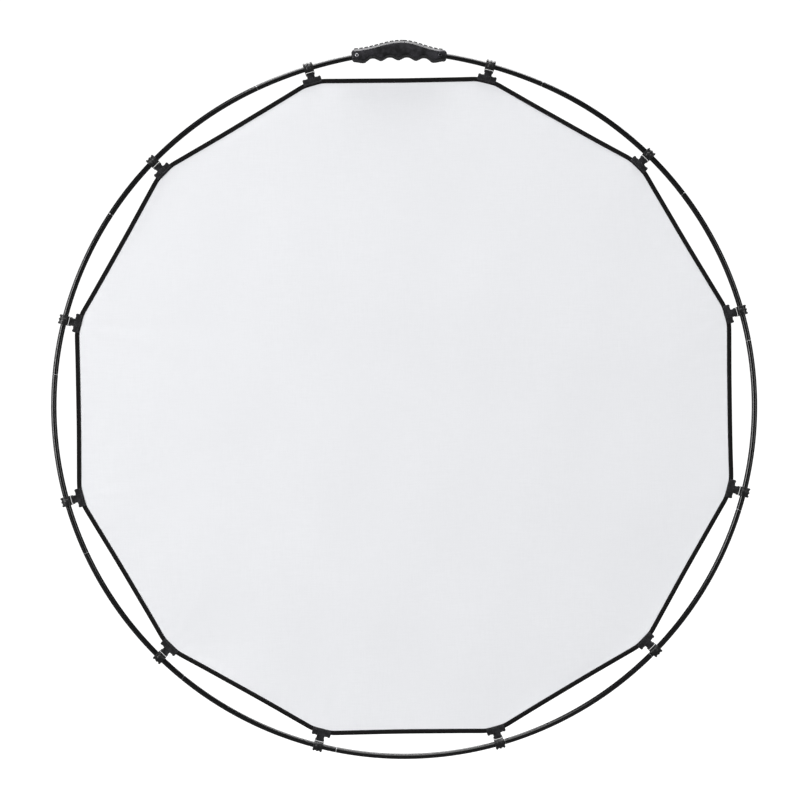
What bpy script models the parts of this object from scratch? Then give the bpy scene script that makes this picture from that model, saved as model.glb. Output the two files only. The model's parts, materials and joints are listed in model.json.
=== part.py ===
"""A framed fabric light reflector disc: a ring of plugged tubes, a moulded hand grip and a laced-in panel.

Metres, +Z up, +X to the right and +Y away from the viewer of the white side. The origin is the middle of
the hand grip, straight above the ring's centre. Angles go round the ring from the top, positive to the left.
"""

import math

import bmesh
import bpy
from mathutils import Matrix, Vector

MM = 0.001
GAP = 0.3 * MM
CUT_PAST = 4.0 * MM
WELD = 0.01 * MM
SHARP_ANGLE = 35
COARSE = 8
MEDIUM = 10
FINE = 14

# Frame ring: thirteen curved tubes, plugged end to end
RING_RADIUS = 407.0 * MM
GRIP_RADIUS = 411.5 * MM
TUBE_RADIUS = 3.25 * MM
TUBE_WALL = 0.6 * MM
TUBE_STEPS = 8
FIXED_TUBE_STEPS = 5
LEFT_JOINTS = (24, 56, 84, 114, 140, 168)
RIGHT_JOINTS = (-24, -53.5, -80, -108, -136, -164)
OPEN_JOINT = 168
HINGE_OFFSET = 4.0 * MM
PEAK_HEIGHT = 5.5 * MM
PEAK_REACH = 24.0

# Ferrules in the tube ends
FERRULE_RADIUS = 2.25 * MM
FERRULE_BORE = 0.95 * MM
COLLAR_LOW = 0.3 * MM
COLLAR_HIGH = 1.1 * MM
SLEEVE_LENGTH = 8.0 * MM
FERRULE_TILT = 1.0
NOSE_LENGTH = 3.0 * MM
NOSE_EASE = 0.05 * MM
NOSE_STRAIGHT = 0.9 * MM
NOSE_ROUND = 2.0 * MM
NOSE_ROUND_EASE = 0.3 * MM
NOSE_TIP_RADIUS = 1.3 * MM
TUBE_END_GAP = 0.2 * MM

# Hand grip
GRIP_HALF_LENGTH = 55.5 * MM
GRIP_HALF_DEPTH = 12.0 * MM
CROWN_SHIFT = 4.0 * MM
CROWN_REACH_LEFT = 50.0 * MM
CROWN_REACH_RIGHT = 43.0 * MM
GRIP_END_TOP = 415.7 * MM
GRIP_CROWN_TOP = 422.8 * MM
GRIP_LEAN = -0.0105
GRIP_TOP_LEAN = -0.02
FEATURE_SHIFT = -1.0 * MM
GROOVE_PITCH = 20.5 * MM
GROOVE_TOP = 406.3 * MM
LOBE_BOTTOM = 402.8 * MM
LOBE_SHARPNESS = 1.3
OUTER_LOBE_DROP = 1.1 * MM
GRIP_END_BOTTOM = 404.8 * MM
GRIP_CORNER = 3.0 * MM
CORNER_CUT = 0.9 * MM
GRIP_CHAMFER = 2.0 * MM
GRIP_BOX_HALF = 80.0 * MM
LOWER_STEPS = 44
UPPER_STEPS = 22
PARTING_GAP = 0.3 * MM
SOCKET_RADIUS = 3.6 * MM
TUBE_END_IN_GRIP = 38.0 * MM
CAVITY_HALF_LENGTH = 26.0 * MM
CAVITY_HALF_DEPTH = 9.0 * MM
CAVITY_LOW = 407.9 * MM
CAVITY_HIGH = 414.2 * MM
CORD_CHANNEL_RADIUS = 1.2 * MM
CORD_CHANNEL_PLACE = 31.5 * MM
CORD_CHANNEL_HALF = 8.0 * MM
STOP_PLACE = 21.5 * MM

# Cord stops: beads in the grip
STOP_BORE = 1.1 * MM
STOP_END_RADIUS = 1.9 * MM
STOP_RADIUS = 2.4 * MM
STOP_HALF = 2.2 * MM
STOP_STRAIGHT_HALF = 1.2 * MM

# Screws that close the grip and hold its tubes
SCREW_PLACE = 48.4 * MM
SCREW_RADIUS = 409.3 * MM
HEAD_RADIUS = 2.4 * MM
HEAD_TOP = 11.8 * MM
HEAD_HEIGHT = 1.6 * MM
HEAD_FLOOR = 9.8 * MM
HEAD_EASE = 0.6 * MM
DIMPLE_RADIUS = 0.8 * MM
DIMPLE_MOUTH = 1.15 * MM
DIMPLE_DEPTH = 0.7 * MM
SHANK_RADIUS = 1.0 * MM
SHANK_END = -6.5 * MM
SHANK_TIP = -8.0 * MM
PILOT_RADIUS = 1.3 * MM
PILOT_END = -9.0 * MM
SCREW_STEPS = 12

# Rubber strip on the grip's crown
STRIP_HALF_WIDTH = 8.0 * MM
STRIP_BASE = 0.6 * MM
STRIP_CENTRE = 5.1 * MM
MIDDLE_RIB_HALF_WIDTH = 4.6 * MM
FIRST_RIB = 7.7 * MM
RIB_PITCH = 5.85 * MM
RIB_MARGIN = 2.7 * MM
RIB_HEIGHT = 1.5 * MM
RIB_WIDTH = 4.9 * MM
RIB_TOP_SHARE = 0.75
RIBS_LEFT = 9
RIBS_RIGHT = 7
STRIP_STEPS = 18

# Panel of fabric with its hem, corner tabs and clips
CLIP_COUNT = 12
FIRST_CLIP = 15
SHEET_THICKNESS = 0.5 * MM
SHEET_DEPTH = 0.4 * MM
HEM_WIDTH = 5.4 * MM
HEM_THICKNESS = 1.8 * MM
HEM_AT_TAB = 389.2 * MM
HEM_BOW = 0.6 * MM
TAB_LENGTH = 22.0 * MM
TAB_INNER = 386.9 * MM
TAB_OUTER = 395.7 * MM
TAB_THICKNESS = 4.0 * MM
TAB_SLOT = 2.4 * MM
STRAP_WIDTH = 9.0 * MM
STRAP_THICKNESS = 2.4 * MM
LOOP_RADIUS = 2.1 * MM
LOOP_HOLE_RADIUS = 1.35 * MM
PIN_CIRCLE = 399.6 * MM
PIN_RADIUS = 1.0 * MM
PIN_OVERLAP = 0.4 * MM
CLIP_WIDTH = 11.2 * MM
CLIP_SLOT_END = 2.5 * MM
SEAT_STEPS = 9

# The clip seen along its bar, in mm from the bar: outwards and towards the viewer. The tube's seat closes it
CLIP_LIP = (11.5, -1.2)
CLIP_OUTLINE = (
    (3.4, -1.4), (0, -1.6), (-1.2, -1.1), (-1.6, 0), (-1.2, 1.1), (0, 1.7), (2.2, 3.2), (3.8, 5.2),
    (7.4, 6.0), (11.2, 5.2), (13.0, 2.6), (13.2, 0), (12.6, -1.2),
)


def polar(angle, radius, depth=0.0):
    """The place on the ring at this angle from the top in degrees, this far from its centre."""
    turn = math.radians(angle)
    return Vector((-radius * math.sin(turn), depth, radius * math.cos(turn) - GRIP_RADIUS))


def outward(angle):
    turn = math.radians(angle)
    return Vector((-math.sin(turn), 0, math.cos(turn)))


def along(angle):
    """The ring's direction at this angle, anticlockwise as the white side is seen."""
    turn = math.radians(angle)
    return Vector((-math.cos(turn), 0, -math.sin(turn)))


def placed(x_axis, y_axis, z_axis, place):
    """The matrix that takes local axes to these directions, at this place."""
    matrix = Matrix((x_axis, y_axis, z_axis)).transposed().to_4x4()
    matrix.translation = place
    return matrix


def ring_radius(angle):
    """The ring is round, but its two fixed tubes rise a little towards the grip."""
    share = max(0.0, 1 - abs(angle) / PEAK_REACH)
    return RING_RADIUS + PEAK_HEIGHT * share**2


def ring_slope(angle):
    """How many degrees the fixed tubes fall inwards here, going away from the grip."""
    share = max(0.0, 1 - abs(angle) / PEAK_REACH)
    fall = 2 * PEAK_HEIGHT * share / math.radians(PEAK_REACH)
    return math.degrees(math.atan2(fall, ring_radius(angle)))


def clear_scene():
    for obj in list(bpy.data.objects):
        bpy.data.objects.remove(obj, do_unlink=True)


def new_collection(name):
    collection = bpy.data.collections.new(name)
    bpy.context.scene.collection.children.link(collection)
    return collection


def make_material(name, color, roughness, metallic=0.0):
    material = bpy.data.materials.new(name)
    material.use_nodes = True
    shader = material.node_tree.nodes["Principled BSDF"]
    shader.inputs["Base Color"].default_value = (*color, 1)
    shader.inputs["Roughness"].default_value = roughness
    shader.inputs["Metallic"].default_value = metallic
    return material


def add_object(name, data, collection, matrix=None):
    obj = bpy.data.objects.new(name, data)
    collection.objects.link(obj)
    if matrix is not None:
        obj.matrix_world = matrix
    return obj


def add_empty(name, place, collection):
    """An empty on a joint's axis, which the pieces that turn about it are parented to."""
    empty = add_object(name, None, collection, Matrix.Translation(place))
    empty.empty_display_size = 5 * MM
    return empty


def hang_on(obj, empty):
    obj.parent = empty
    obj.matrix_parent_inverse = empty.matrix_world.inverted()


def poly_spline(curve, points, cyclic):
    spline = curve.splines.new("POLY")
    spline.points.add(len(points) - 1)
    for target, point in zip(spline.points, points):
        target.co = (*point, 1) if len(point) == 3 else (*point, 0, 1)
    spline.use_cyclic_u = cyclic


def flat_piece(name, loops, thickness, matrix, collection, chamfer=0.0):
    """A flat outline, with any holes in it, extruded to this thickness about its own plane."""
    curve = bpy.data.curves.new(name, "CURVE")
    curve.dimensions = "2D"
    curve.fill_mode = "BOTH"
    curve.extrude = thickness / 2 - chamfer
    curve.bevel_depth = chamfer
    curve.bevel_resolution = 0
    curve.offset = -chamfer
    for loop in loops:
        poly_spline(curve, loop, cyclic=True)
    return as_mesh(add_object(name, curve, collection, matrix))


def as_mesh(obj):
    """The curve or modified object made a plain mesh with its caps welded, in the same place."""
    bpy.context.view_layer.update()
    evaluated = obj.evaluated_get(bpy.context.evaluated_depsgraph_get())
    mesh = bpy.data.meshes.new_from_object(evaluated)
    name = obj.name
    matrix = obj.matrix_world.copy()
    collection = obj.users_collection[0]
    bpy.data.objects.remove(obj, do_unlink=True)
    work = bmesh.new()
    work.from_mesh(mesh)
    bmesh.ops.remove_doubles(work, verts=work.verts, dist=WELD)
    bmesh.ops.recalc_face_normals(work, faces=work.faces)
    work.to_mesh(mesh)
    work.free()
    mesh.name = name
    return add_object(name, mesh, collection, matrix)


def box(name, low, high, matrix, collection):
    work = bmesh.new()
    bmesh.ops.create_cube(work, size=1)
    size = Vector(high) - Vector(low)
    middle = (Vector(high) + Vector(low)) / 2
    bmesh.ops.scale(work, vec=size, verts=work.verts)
    bmesh.ops.translate(work, vec=middle, verts=work.verts)
    mesh = bpy.data.meshes.new(name)
    work.to_mesh(mesh)
    work.free()
    return add_object(name, mesh, collection, matrix)


def rod(name, radius, start, end, matrix, collection, sides=12):
    """A cylinder along the local Z axis."""
    work = bmesh.new()
    bmesh.ops.create_cone(
        work, cap_ends=True, segments=sides, radius1=radius, radius2=radius, depth=end - start
    )
    bmesh.ops.translate(work, vec=(0, 0, (start + end) / 2), verts=work.verts)
    mesh = bpy.data.meshes.new(name)
    work.to_mesh(mesh)
    work.free()
    return add_object(name, mesh, collection, matrix)


def boolean(target, other, operation):
    other.hide_render = True
    other.display_type = "WIRE"
    modifier = target.modifiers.new(operation.title() + " " + other.name, "BOOLEAN")
    modifier.operation = operation
    modifier.solver = "EXACT"
    modifier.object = other


def turned(name, profile, matrix, collection, steps=MEDIUM, closed=True):
    """(radius, height) points turned about the local Z axis. An open profile starts and ends on the axis."""
    work = bmesh.new()
    corners = [work.verts.new((radius, 0, height)) for radius, height in profile]
    after = corners[1:] + corners[:1] if closed else corners[1:]
    for first, second in zip(corners, after):
        work.edges.new((first, second))
    mesh = bpy.data.meshes.new(name)
    work.to_mesh(mesh)
    work.free()
    obj = add_object(name, mesh, collection, matrix)
    screw = obj.modifiers.new("Turn", "SCREW")
    screw.steps = screw.render_steps = steps
    screw.use_merge_vertices = True
    screw.merge_threshold = WELD
    return as_mesh(obj)


def finish(obj, material, smooth=True):
    obj.data.materials.clear()
    obj.data.materials.append(material)
    if smooth and obj.type == "MESH":
        obj.data.shade_smooth()
        obj.data.set_sharp_from_angle(angle=math.radians(SHARP_ANGLE))
    return obj


def make_tube(name, start, end, material, collection, steps=TUBE_STEPS):
    """One curved tube of the ring between two angles in degrees, open at both ends."""
    curve = bpy.data.curves.new(name, "CURVE")
    curve.dimensions = "3D"
    curve.bevel_depth = TUBE_RADIUS
    curve.bevel_resolution = 3
    origin = polar(start, ring_radius(start))
    angles = spread(start, end, steps)
    points = [polar(angle, ring_radius(angle)) - origin for angle in angles]
    poly_spline(curve, points, cyclic=False)
    tube = as_mesh(add_object(name, curve, collection, Matrix.Translation(origin)))
    wall = tube.modifiers.new("Wall", "SOLIDIFY")
    wall.thickness = TUBE_WALL
    wall.offset = -1
    return finish(tube, material)


def degrees_of(length):
    return math.degrees(length / RING_RADIUS)


def ferrule_profile(with_nose):
    """Collar, then the sleeve upwards and the bullet nose downwards. Height 0 is the joint's hinge line."""
    inner = FERRULE_BORE
    sleeve_end = COLLAR_HIGH + SLEEVE_LENGTH
    nose = FERRULE_RADIUS - NOSE_EASE
    profile = [(inner, sleeve_end), (FERRULE_RADIUS, sleeve_end), (FERRULE_RADIUS, COLLAR_HIGH)]
    profile += [(TUBE_RADIUS, COLLAR_HIGH), (TUBE_RADIUS, COLLAR_LOW)]
    if not with_nose:
        return profile + [(inner, COLLAR_LOW)]
    profile += [(nose, COLLAR_LOW), (nose, -NOSE_STRAIGHT)]
    profile += [(FERRULE_RADIUS - NOSE_ROUND_EASE, -NOSE_ROUND)]
    return profile + [(NOSE_TIP_RADIUS, -NOSE_LENGTH), (inner, -NOSE_LENGTH)]


def make_ferrule(name, angle, direction, with_nose, material, collection):
    """direction is +1 where the sleeve's own tube goes on to the left round the ring, else -1."""
    tilted = angle + direction * FERRULE_TILT
    axis = along(tilted) * direction
    matrix = placed(outward(tilted), axis.cross(outward(tilted)), axis, polar(angle, RING_RADIUS))
    return finish(turned(name, ferrule_profile(with_nose), matrix, collection), material)


def make_frame(collection, cutters, black, bare):
    """The ring: short tubes fixed in the grip, then two chains of longer tubes that meet at the bottom."""
    half_joint = degrees_of(TUBE_END_GAP)
    joint_room = degrees_of(COLLAR_HIGH + GAP)
    inside = degrees_of(TUBE_END_IN_GRIP)
    for side, name, joints in ((1, "l", LEFT_JOINTS), (-1, "r", RIGHT_JOINTS)):
        fixed_end = joints[0] - side * half_joint
        fixed = make_tube(f"tube_{name}0", side * inside, fixed_end, black, collection, FIXED_TUBE_STEPS)
        notch = rod(f"cut_notch_{name}", PILOT_RADIUS, PILOT_END, HEAD_TOP, screw_axis(side), cutters, MEDIUM)
        boolean(fixed, notch, "DIFFERENCE")
        ends = list(joints[1:])
        if side < 0:
            ends.append(OPEN_JOINT - 360)
        for number, (start, end) in enumerate(zip(joints, ends), 1):
            depth = HINGE_OFFSET if number % 2 else -HINGE_OFFSET
            hinge = add_empty(f"hinge_{name}{number}", polar(start, RING_RADIUS, depth), collection)
            if end == OPEN_JOINT - 360:
                tube_end = end + joint_room
            else:
                tube_end = end - side * half_joint
            tube = make_tube(f"tube_{name}{number}", start + side * joint_room, tube_end, black, collection)
            ferrule = make_ferrule(f"ferrule_{name}{number}", start, side, True, bare, collection)
            hang_on(tube, hinge)
            hang_on(ferrule, hinge)
    last_hinge = bpy.data.objects[f"hinge_r{len(RIGHT_JOINTS)}"]
    open_ferrule = make_ferrule("ferrule_open", OPEN_JOINT, 1, False, bare, collection)
    hang_on(open_ferrule, last_hinge)


def grip_bottom(place):
    """Radius of the grip's lower edge, which has a lobe between each two fingers."""
    lean = GRIP_LEAN * place
    reach = abs(place - FEATURE_SHIFT)
    outer_lobe = 2 * GROOVE_PITCH
    drop = OUTER_LOBE_DROP * (reach / outer_lobe) ** 2
    if reach <= outer_lobe:
        wave = ((1 + math.cos(2 * math.pi * reach / GROOVE_PITCH)) / 2) ** LOBE_SHARPNESS
        return GROOVE_TOP - (GROOVE_TOP - LOBE_BOTTOM) * wave - drop * wave + lean
    share = min((reach - outer_lobe) / (GRIP_HALF_LENGTH - outer_lobe), 1)
    rise = (1 - math.cos(math.pi * share)) / 2
    lowest = LOBE_BOTTOM - OUTER_LOBE_DROP
    return lowest + (GRIP_END_BOTTOM - lowest) * rise + lean


def grip_top(place):
    """Radius of the grip's upper edge: a crown a little to the right of the middle."""
    crown_reach = CROWN_REACH_LEFT if place < CROWN_SHIFT else CROWN_REACH_RIGHT
    reach = min(abs(place - CROWN_SHIFT) / crown_reach, 1)
    crown = (GRIP_CROWN_TOP - GRIP_END_TOP) * (1 + math.cos(math.pi * reach)) / 2
    return GRIP_END_TOP + crown + GRIP_TOP_LEAN * place


def grip_point(place, radius):
    """(x, z) of a place along the grip, positive to the right, at this radius from the ring's centre."""
    turn = place / GRIP_RADIUS
    return (radius * math.sin(turn), radius * math.cos(turn) - GRIP_RADIUS)


def spread(start, end, count):
    return [start + (end - start) * step / count for step in range(count + 1)]


def grip_outline():
    """Left to right along the lobes, round the right end, and back along the crown."""
    half = GRIP_HALF_LENGTH
    corner = GRIP_CORNER
    inset = half - corner / 2
    lower = [grip_point(s, grip_bottom(s)) for s in spread(-inset, inset, LOWER_STEPS)]
    upper = [grip_point(s, grip_top(s)) for s in spread(half - corner, -half + corner, UPPER_STEPS)]
    ends = []
    for side in (1, -1):
        end_top = grip_top(side * half)
        low = grip_bottom(side * half) + corner / 2
        ends.append([grip_point(side * half, low), grip_point(side * half, end_top - corner)])
        ends[-1].append(grip_point(side * (half - CORNER_CUT), end_top - CORNER_CUT))
    return lower + ends[0] + upper + ends[1][::-1]


def strip_outline(sunk, ribs):
    """The rubber strip seen from the front. Ribs stand up from its base, and the widest is in the middle."""
    left = STRIP_CENTRE - FIRST_RIB - RIB_PITCH * (RIBS_LEFT - 1) - RIB_MARGIN
    right = STRIP_CENTRE + FIRST_RIB + RIB_PITCH * (RIBS_RIGHT - 1) + RIB_MARGIN
    if not ribs:
        left -= GAP
        right += GAP
    under = [grip_point(s, grip_top(s) - sunk) for s in spread(left, right, STRIP_STEPS)]
    if not ribs:
        over = [grip_point(s, grip_top(s) + CUT_PAST) for s in spread(right, left, STRIP_STEPS)]
        return under + over
    places = [(STRIP_CENTRE - FIRST_RIB - RIB_PITCH * step, RIB_WIDTH / 2) for step in range(RIBS_LEFT)]
    places += [(STRIP_CENTRE + FIRST_RIB + RIB_PITCH * step, RIB_WIDTH / 2) for step in range(RIBS_RIGHT)]
    places.append((STRIP_CENTRE, MIDDLE_RIB_HALF_WIDTH))
    over = [grip_point(right, grip_top(right) + GAP)]
    for middle, half in sorted(places, reverse=True):
        half_top = half * RIB_TOP_SHARE
        for s, height in ((middle + half, GAP), (middle + half_top, RIB_HEIGHT)):
            over.append(grip_point(s, grip_top(s) + height))
        for s, height in ((middle - half_top, RIB_HEIGHT), (middle - half, GAP)):
            over.append(grip_point(s, grip_top(s) + height))
    over.append(grip_point(left, grip_top(left) + GAP))
    return under + over


FRONT_PLANE = placed((1, 0, 0), (0, 0, 1), (0, -1, 0), (0, 0, 0))


def ring_axis(side, place):
    """Local Z along the ring and away from the grip's middle, this far along to the side (left is +1)."""
    angle = side * degrees_of(place)
    turned_in = angle + side * ring_slope(angle)
    axis = along(turned_in) * side
    out = outward(turned_in)
    return placed(out, axis.cross(out), axis, polar(angle, ring_radius(angle)))


def screw_axis(side):
    """Local Z out of the grip's front face, on the screw's own axis: side is +1 for the left screw."""
    place = FEATURE_SHIFT - side * SCREW_PLACE
    x, z = grip_point(place, SCREW_RADIUS + GRIP_LEAN * place)
    return placed((1, 0, 0), (0, 0, 1), (0, -1, 0), (x, 0, z))


def grip_cutters(collection):
    """Everything that both halves of the grip are hollowed by."""
    low = -CAVITY_HALF_LENGTH, -CAVITY_HALF_DEPTH, grip_point(0, CAVITY_LOW)[1]
    high = CAVITY_HALF_LENGTH, CAVITY_HALF_DEPTH, grip_point(0, CAVITY_HIGH)[1]
    found = [box("cut_cavity", low, high, Matrix(), collection)]
    for side, name in ((1, "left"), (-1, "right")):
        half_bore = (GRIP_HALF_LENGTH - TUBE_END_IN_GRIP) / 2
        bore_axis = ring_axis(side, TUBE_END_IN_GRIP + half_bore)
        bore_end = half_bore + CUT_PAST
        bore = rod(f"cut_tube_{name}", SOCKET_RADIUS, -half_bore - GAP, bore_end, bore_axis, collection, FINE)
        lane = ring_axis(side, CORD_CHANNEL_PLACE)
        reach = CORD_CHANNEL_HALF
        channel = rod(f"cut_cord_{name}", CORD_CHANNEL_RADIUS, -reach, reach, lane, collection, COARSE)
        front = screw_axis(side)
        past = HEAD_TOP + CUT_PAST
        head = rod(f"cut_head_{name}", HEAD_RADIUS + GAP, HEAD_FLOOR, past, front, collection)
        pilot = rod(f"cut_pilot_{name}", PILOT_RADIUS, PILOT_END, past, front, collection, MEDIUM)
        found += [bore, channel, head, pilot]
    outline = strip_outline(STRIP_BASE + GAP, ribs=False)
    width = 2 * (STRIP_HALF_WIDTH + GAP)
    return found + [flat_piece("cut_strip_groove", [outline], width, FRONT_PLANE, collection)]


def make_grip(collection, cutters, charcoal, rubber, steel, bead):
    cuts = grip_cutters(cutters)
    wide = GRIP_BOX_HALF
    half_gap = PARTING_GAP / 2
    past = GRIP_HALF_DEPTH + CUT_PAST
    halves = (("grip_front_shell", -half_gap, past), ("grip_rear_shell", -past, half_gap))
    for name, near, far in halves:
        depth = 2 * GRIP_HALF_DEPTH
        shell = flat_piece(name, [grip_outline()], depth, FRONT_PLANE, collection, GRIP_CHAMFER)
        other_half = box(f"cut_{name}", (-wide, near, -wide), (wide, far, wide), Matrix(), cutters)
        boolean(shell, other_half, "DIFFERENCE")
        for cutter in cuts:
            boolean(shell, cutter, "DIFFERENCE")
        finish(shell, charcoal)
    outline = strip_outline(STRIP_BASE, ribs=True)
    finish(flat_piece("grip_strip", [outline], 2 * STRIP_HALF_WIDTH, FRONT_PLANE, collection), rubber)
    for side, name in ((1, "left"), (-1, "right")):
        finish(make_screw(f"screw_{name}", screw_axis(side), collection), steel)
        stop = turned(f"cord_stop_{name}", stop_profile(), ring_axis(side, STOP_PLACE), collection)
        finish(stop, bead)


def stop_profile():
    profile = [(STOP_BORE, STOP_HALF), (STOP_END_RADIUS, STOP_HALF), (STOP_RADIUS, STOP_STRAIGHT_HALF)]
    return profile + [(radius, -height) for radius, height in profile[::-1]]


def make_screw(name, matrix, collection):
    """A pan head screw along the local Z axis: its driver socket is a plain round dimple here."""
    under = HEAD_TOP - HEAD_HEIGHT
    profile = [(0, HEAD_TOP - DIMPLE_DEPTH), (DIMPLE_RADIUS, HEAD_TOP - DIMPLE_DEPTH)]
    profile += [(DIMPLE_MOUTH, HEAD_TOP), (HEAD_RADIUS - HEAD_EASE, HEAD_TOP)]
    profile += [(HEAD_RADIUS, HEAD_TOP - HEAD_EASE), (HEAD_RADIUS, under), (SHANK_RADIUS, under)]
    profile += [(SHANK_RADIUS, SHANK_END), (0, SHANK_TIP)]
    return turned(name, profile, matrix, collection, SCREW_STEPS, closed=False)


def angle_from_top(angle):
    """The same angle between -180 and 180."""
    return (angle + 180) % 360 - 180


def clip_angles():
    return [FIRST_CLIP + 360 / CLIP_COUNT * number for number in range(CLIP_COUNT)]


def hem_loop(offset):
    """The hem's line shifted outwards, as (x, z): flat across each tab and slightly bowed in between."""
    half_tab = TAB_LENGTH / 2
    half_pitch = 180 / CLIP_COUNT
    points = []
    for angle in clip_angles():
        bow = outward(angle + half_pitch) * HEM_BOW
        here = polar(angle, HEM_AT_TAB + offset)
        after = angle + 2 * half_pitch
        there = polar(after, HEM_AT_TAB + offset)
        corner_in = half_tab + offset * math.tan(math.radians(half_pitch / 2))
        first = here - along(angle) * corner_in
        start = here + along(angle) * corner_in
        end = there - along(after) * corner_in
        middle = (start + end) / 2 - bow
        before_middle = start.lerp(middle, 0.5) - bow / 4
        after_middle = middle.lerp(end, 0.5) - bow / 4
        for point in (first, start, before_middle, middle, after_middle):
            points.append((point.x, point.z))
    return points


def make_panel(collection, cutters, white, silver, binding, webbing, clip_black):
    """Two layers of fabric, the hem round them, and at each corner a sewn tab, a strap and a clip."""
    slide = add_empty("panel_slide", polar(0, 0), collection)
    inner = -HEM_WIDTH / 2 - GAP
    layers = (("sheet_white", -SHEET_DEPTH, white), ("sheet_silver", SHEET_DEPTH, silver))
    for name, depth, material in layers:
        plane = Matrix.Translation((0, depth, 0)) @ FRONT_PLANE
        sheet = flat_piece(name, [hem_loop(inner)], SHEET_THICKNESS, plane, collection)
        hang_on(finish(sheet, material, smooth=False), slide)
    loops = [hem_loop(HEM_WIDTH / 2), hem_loop(-HEM_WIDTH / 2)]
    hem = flat_piece("hem", loops, HEM_THICKNESS, FRONT_PLANE, collection)
    hang_on(finish(hem, binding, smooth=False), slide)
    strap_mesh = make_strap_mesh(cutters)
    clip_mesh = make_clip_mesh(cutters)
    strap_mesh.materials.append(webbing)
    clip_mesh.materials.append(clip_black)
    for number, angle in enumerate(clip_angles(), 1):
        pin = PIN_CIRCLE + ring_radius(angle_from_top(angle)) - RING_RADIUS
        matrix = placed(outward(angle), (0, -1, 0), -along(angle), polar(angle, pin))
        strap = add_object(f"strap_{number:02d}", strap_mesh, collection, matrix)
        clip = add_object(f"clip_{number:02d}", clip_mesh, collection, matrix)
        hang_on(strap, slide)
        hang_on(clip, slide)


def make_strap_mesh(cutters):
    """Tab folded over the hem and the strap's loop, with the clip's bar as the local Z axis, outwards +X."""
    tab_low = TAB_INNER - PIN_CIRCLE
    tab_high = TAB_OUTER - PIN_CIRCLE
    half_strap = STRAP_WIDTH / 2
    half_tab = TAB_LENGTH / 2
    body = box(
        "strap_blank",
        (tab_low, -TAB_THICKNESS / 2, -half_tab),
        (tab_high, TAB_THICKNESS / 2, half_tab),
        Matrix(),
        cutters,
    )
    run = box(
        "strap_run",
        (tab_high - TAB_THICKNESS / 4, -STRAP_THICKNESS / 2, -half_strap),
        (-LOOP_HOLE_RADIUS / 2, STRAP_THICKNESS / 2, half_strap),
        Matrix(),
        cutters,
    )
    loop = rod("strap_loop", LOOP_RADIUS, -half_strap, half_strap, Matrix(), cutters, FINE)
    hole = rod("strap_hole", LOOP_HOLE_RADIUS, -half_tab, half_tab, Matrix(), cutters, FINE)
    slot_high = HEM_AT_TAB + HEM_WIDTH / 2 + GAP - PIN_CIRCLE
    slot = box(
        "tab_slot",
        (tab_low - CUT_PAST, -TAB_SLOT / 2, -half_tab - CUT_PAST),
        (slot_high, TAB_SLOT / 2, half_tab + CUT_PAST),
        Matrix(),
        cutters,
    )
    boolean(body, run, "UNION")
    boolean(body, loop, "UNION")
    boolean(body, hole, "DIFFERENCE")
    boolean(body, slot, "DIFFERENCE")
    return keep_mesh(body)


def keep_mesh(obj):
    """The finished mesh of a blank whose copies share it. The blank itself is removed."""
    made = as_mesh(obj)
    mesh = made.data
    bpy.data.objects.remove(made, do_unlink=True)
    return mesh


def make_clip_mesh(cutters):
    """The hook that goes over the tube, seen along the bar: +X outwards, +Y towards the viewer."""
    tube = RING_RADIUS - PIN_CIRCLE
    seat = TUBE_RADIUS + GAP
    arc = [
        (tube + seat * math.cos(math.radians(turn)), seat * math.sin(math.radians(turn)))
        for turn in spread(0, 180, SEAT_STEPS)
    ]
    lip = [(CLIP_LIP[0] * MM, CLIP_LIP[1] * MM)]
    back = [(out * MM, front * MM) for out, front in CLIP_OUTLINE]
    body = flat_piece("clip_blank", [lip + arc + back], CLIP_WIDTH, Matrix(), cutters)
    half_slot = STRAP_WIDTH / 2 + GAP
    low, high = (-CUT_PAST, -CUT_PAST, -half_slot), (CLIP_SLOT_END, 2 * CUT_PAST, half_slot)
    slot = box("clip_slot", low, high, Matrix(), cutters)
    bar_end = half_slot + PIN_OVERLAP
    bar = rod("clip_bar", PIN_RADIUS, -bar_end, bar_end, Matrix(), cutters, MEDIUM)
    boolean(body, slot, "DIFFERENCE")
    boolean(body, bar, "UNION")
    return keep_mesh(body)


def main():
    clear_scene()
    parts = new_collection("reflector_disc")
    cutters = new_collection("cutters")
    black = make_material("tube_black", (0.012, 0.012, 0.014), 0.25)
    bare = make_material("bare_aluminium", (0.78, 0.78, 0.8), 0.3, 1.0)
    charcoal = make_material("grip_charcoal", (0.03, 0.03, 0.034), 0.5)
    rubber = make_material("strip_rubber", (0.012, 0.012, 0.013), 0.8)
    steel = make_material("screw_steel", (0.45, 0.45, 0.47), 0.35, 1.0)
    bead = make_material("cord_stop", (0.02, 0.02, 0.02), 0.6)
    white = make_material("sheet_white", (0.8, 0.8, 0.83), 0.85)
    silver = make_material("sheet_silver", (0.62, 0.63, 0.65), 0.35, 0.8)
    binding = make_material("hem_binding", (0.015, 0.013, 0.013), 0.8)
    webbing = make_material("strap_webbing", (0.03, 0.03, 0.034), 0.85)
    clip_black = make_material("clip_plastic", (0.02, 0.02, 0.022), 0.4)
    make_frame(parts, cutters, black, bare)
    make_grip(parts, cutters, charcoal, rubber, steel, bead)
    make_panel(parts, cutters, white, silver, binding, webbing, clip_black)
    cutters.hide_render = True


main()
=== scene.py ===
"""The looks of a framed fabric light reflector disc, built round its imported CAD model.

Metres. +X is to the right as the white side is seen, +Y away from that viewer and +Z up. The origin is the
middle of the hand grip. Angles go round the ring from the top, positive to the left.
"""

import json
import math

import bmesh
import bpy
import numpy as np
from mathutils import Matrix, Vector


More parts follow.
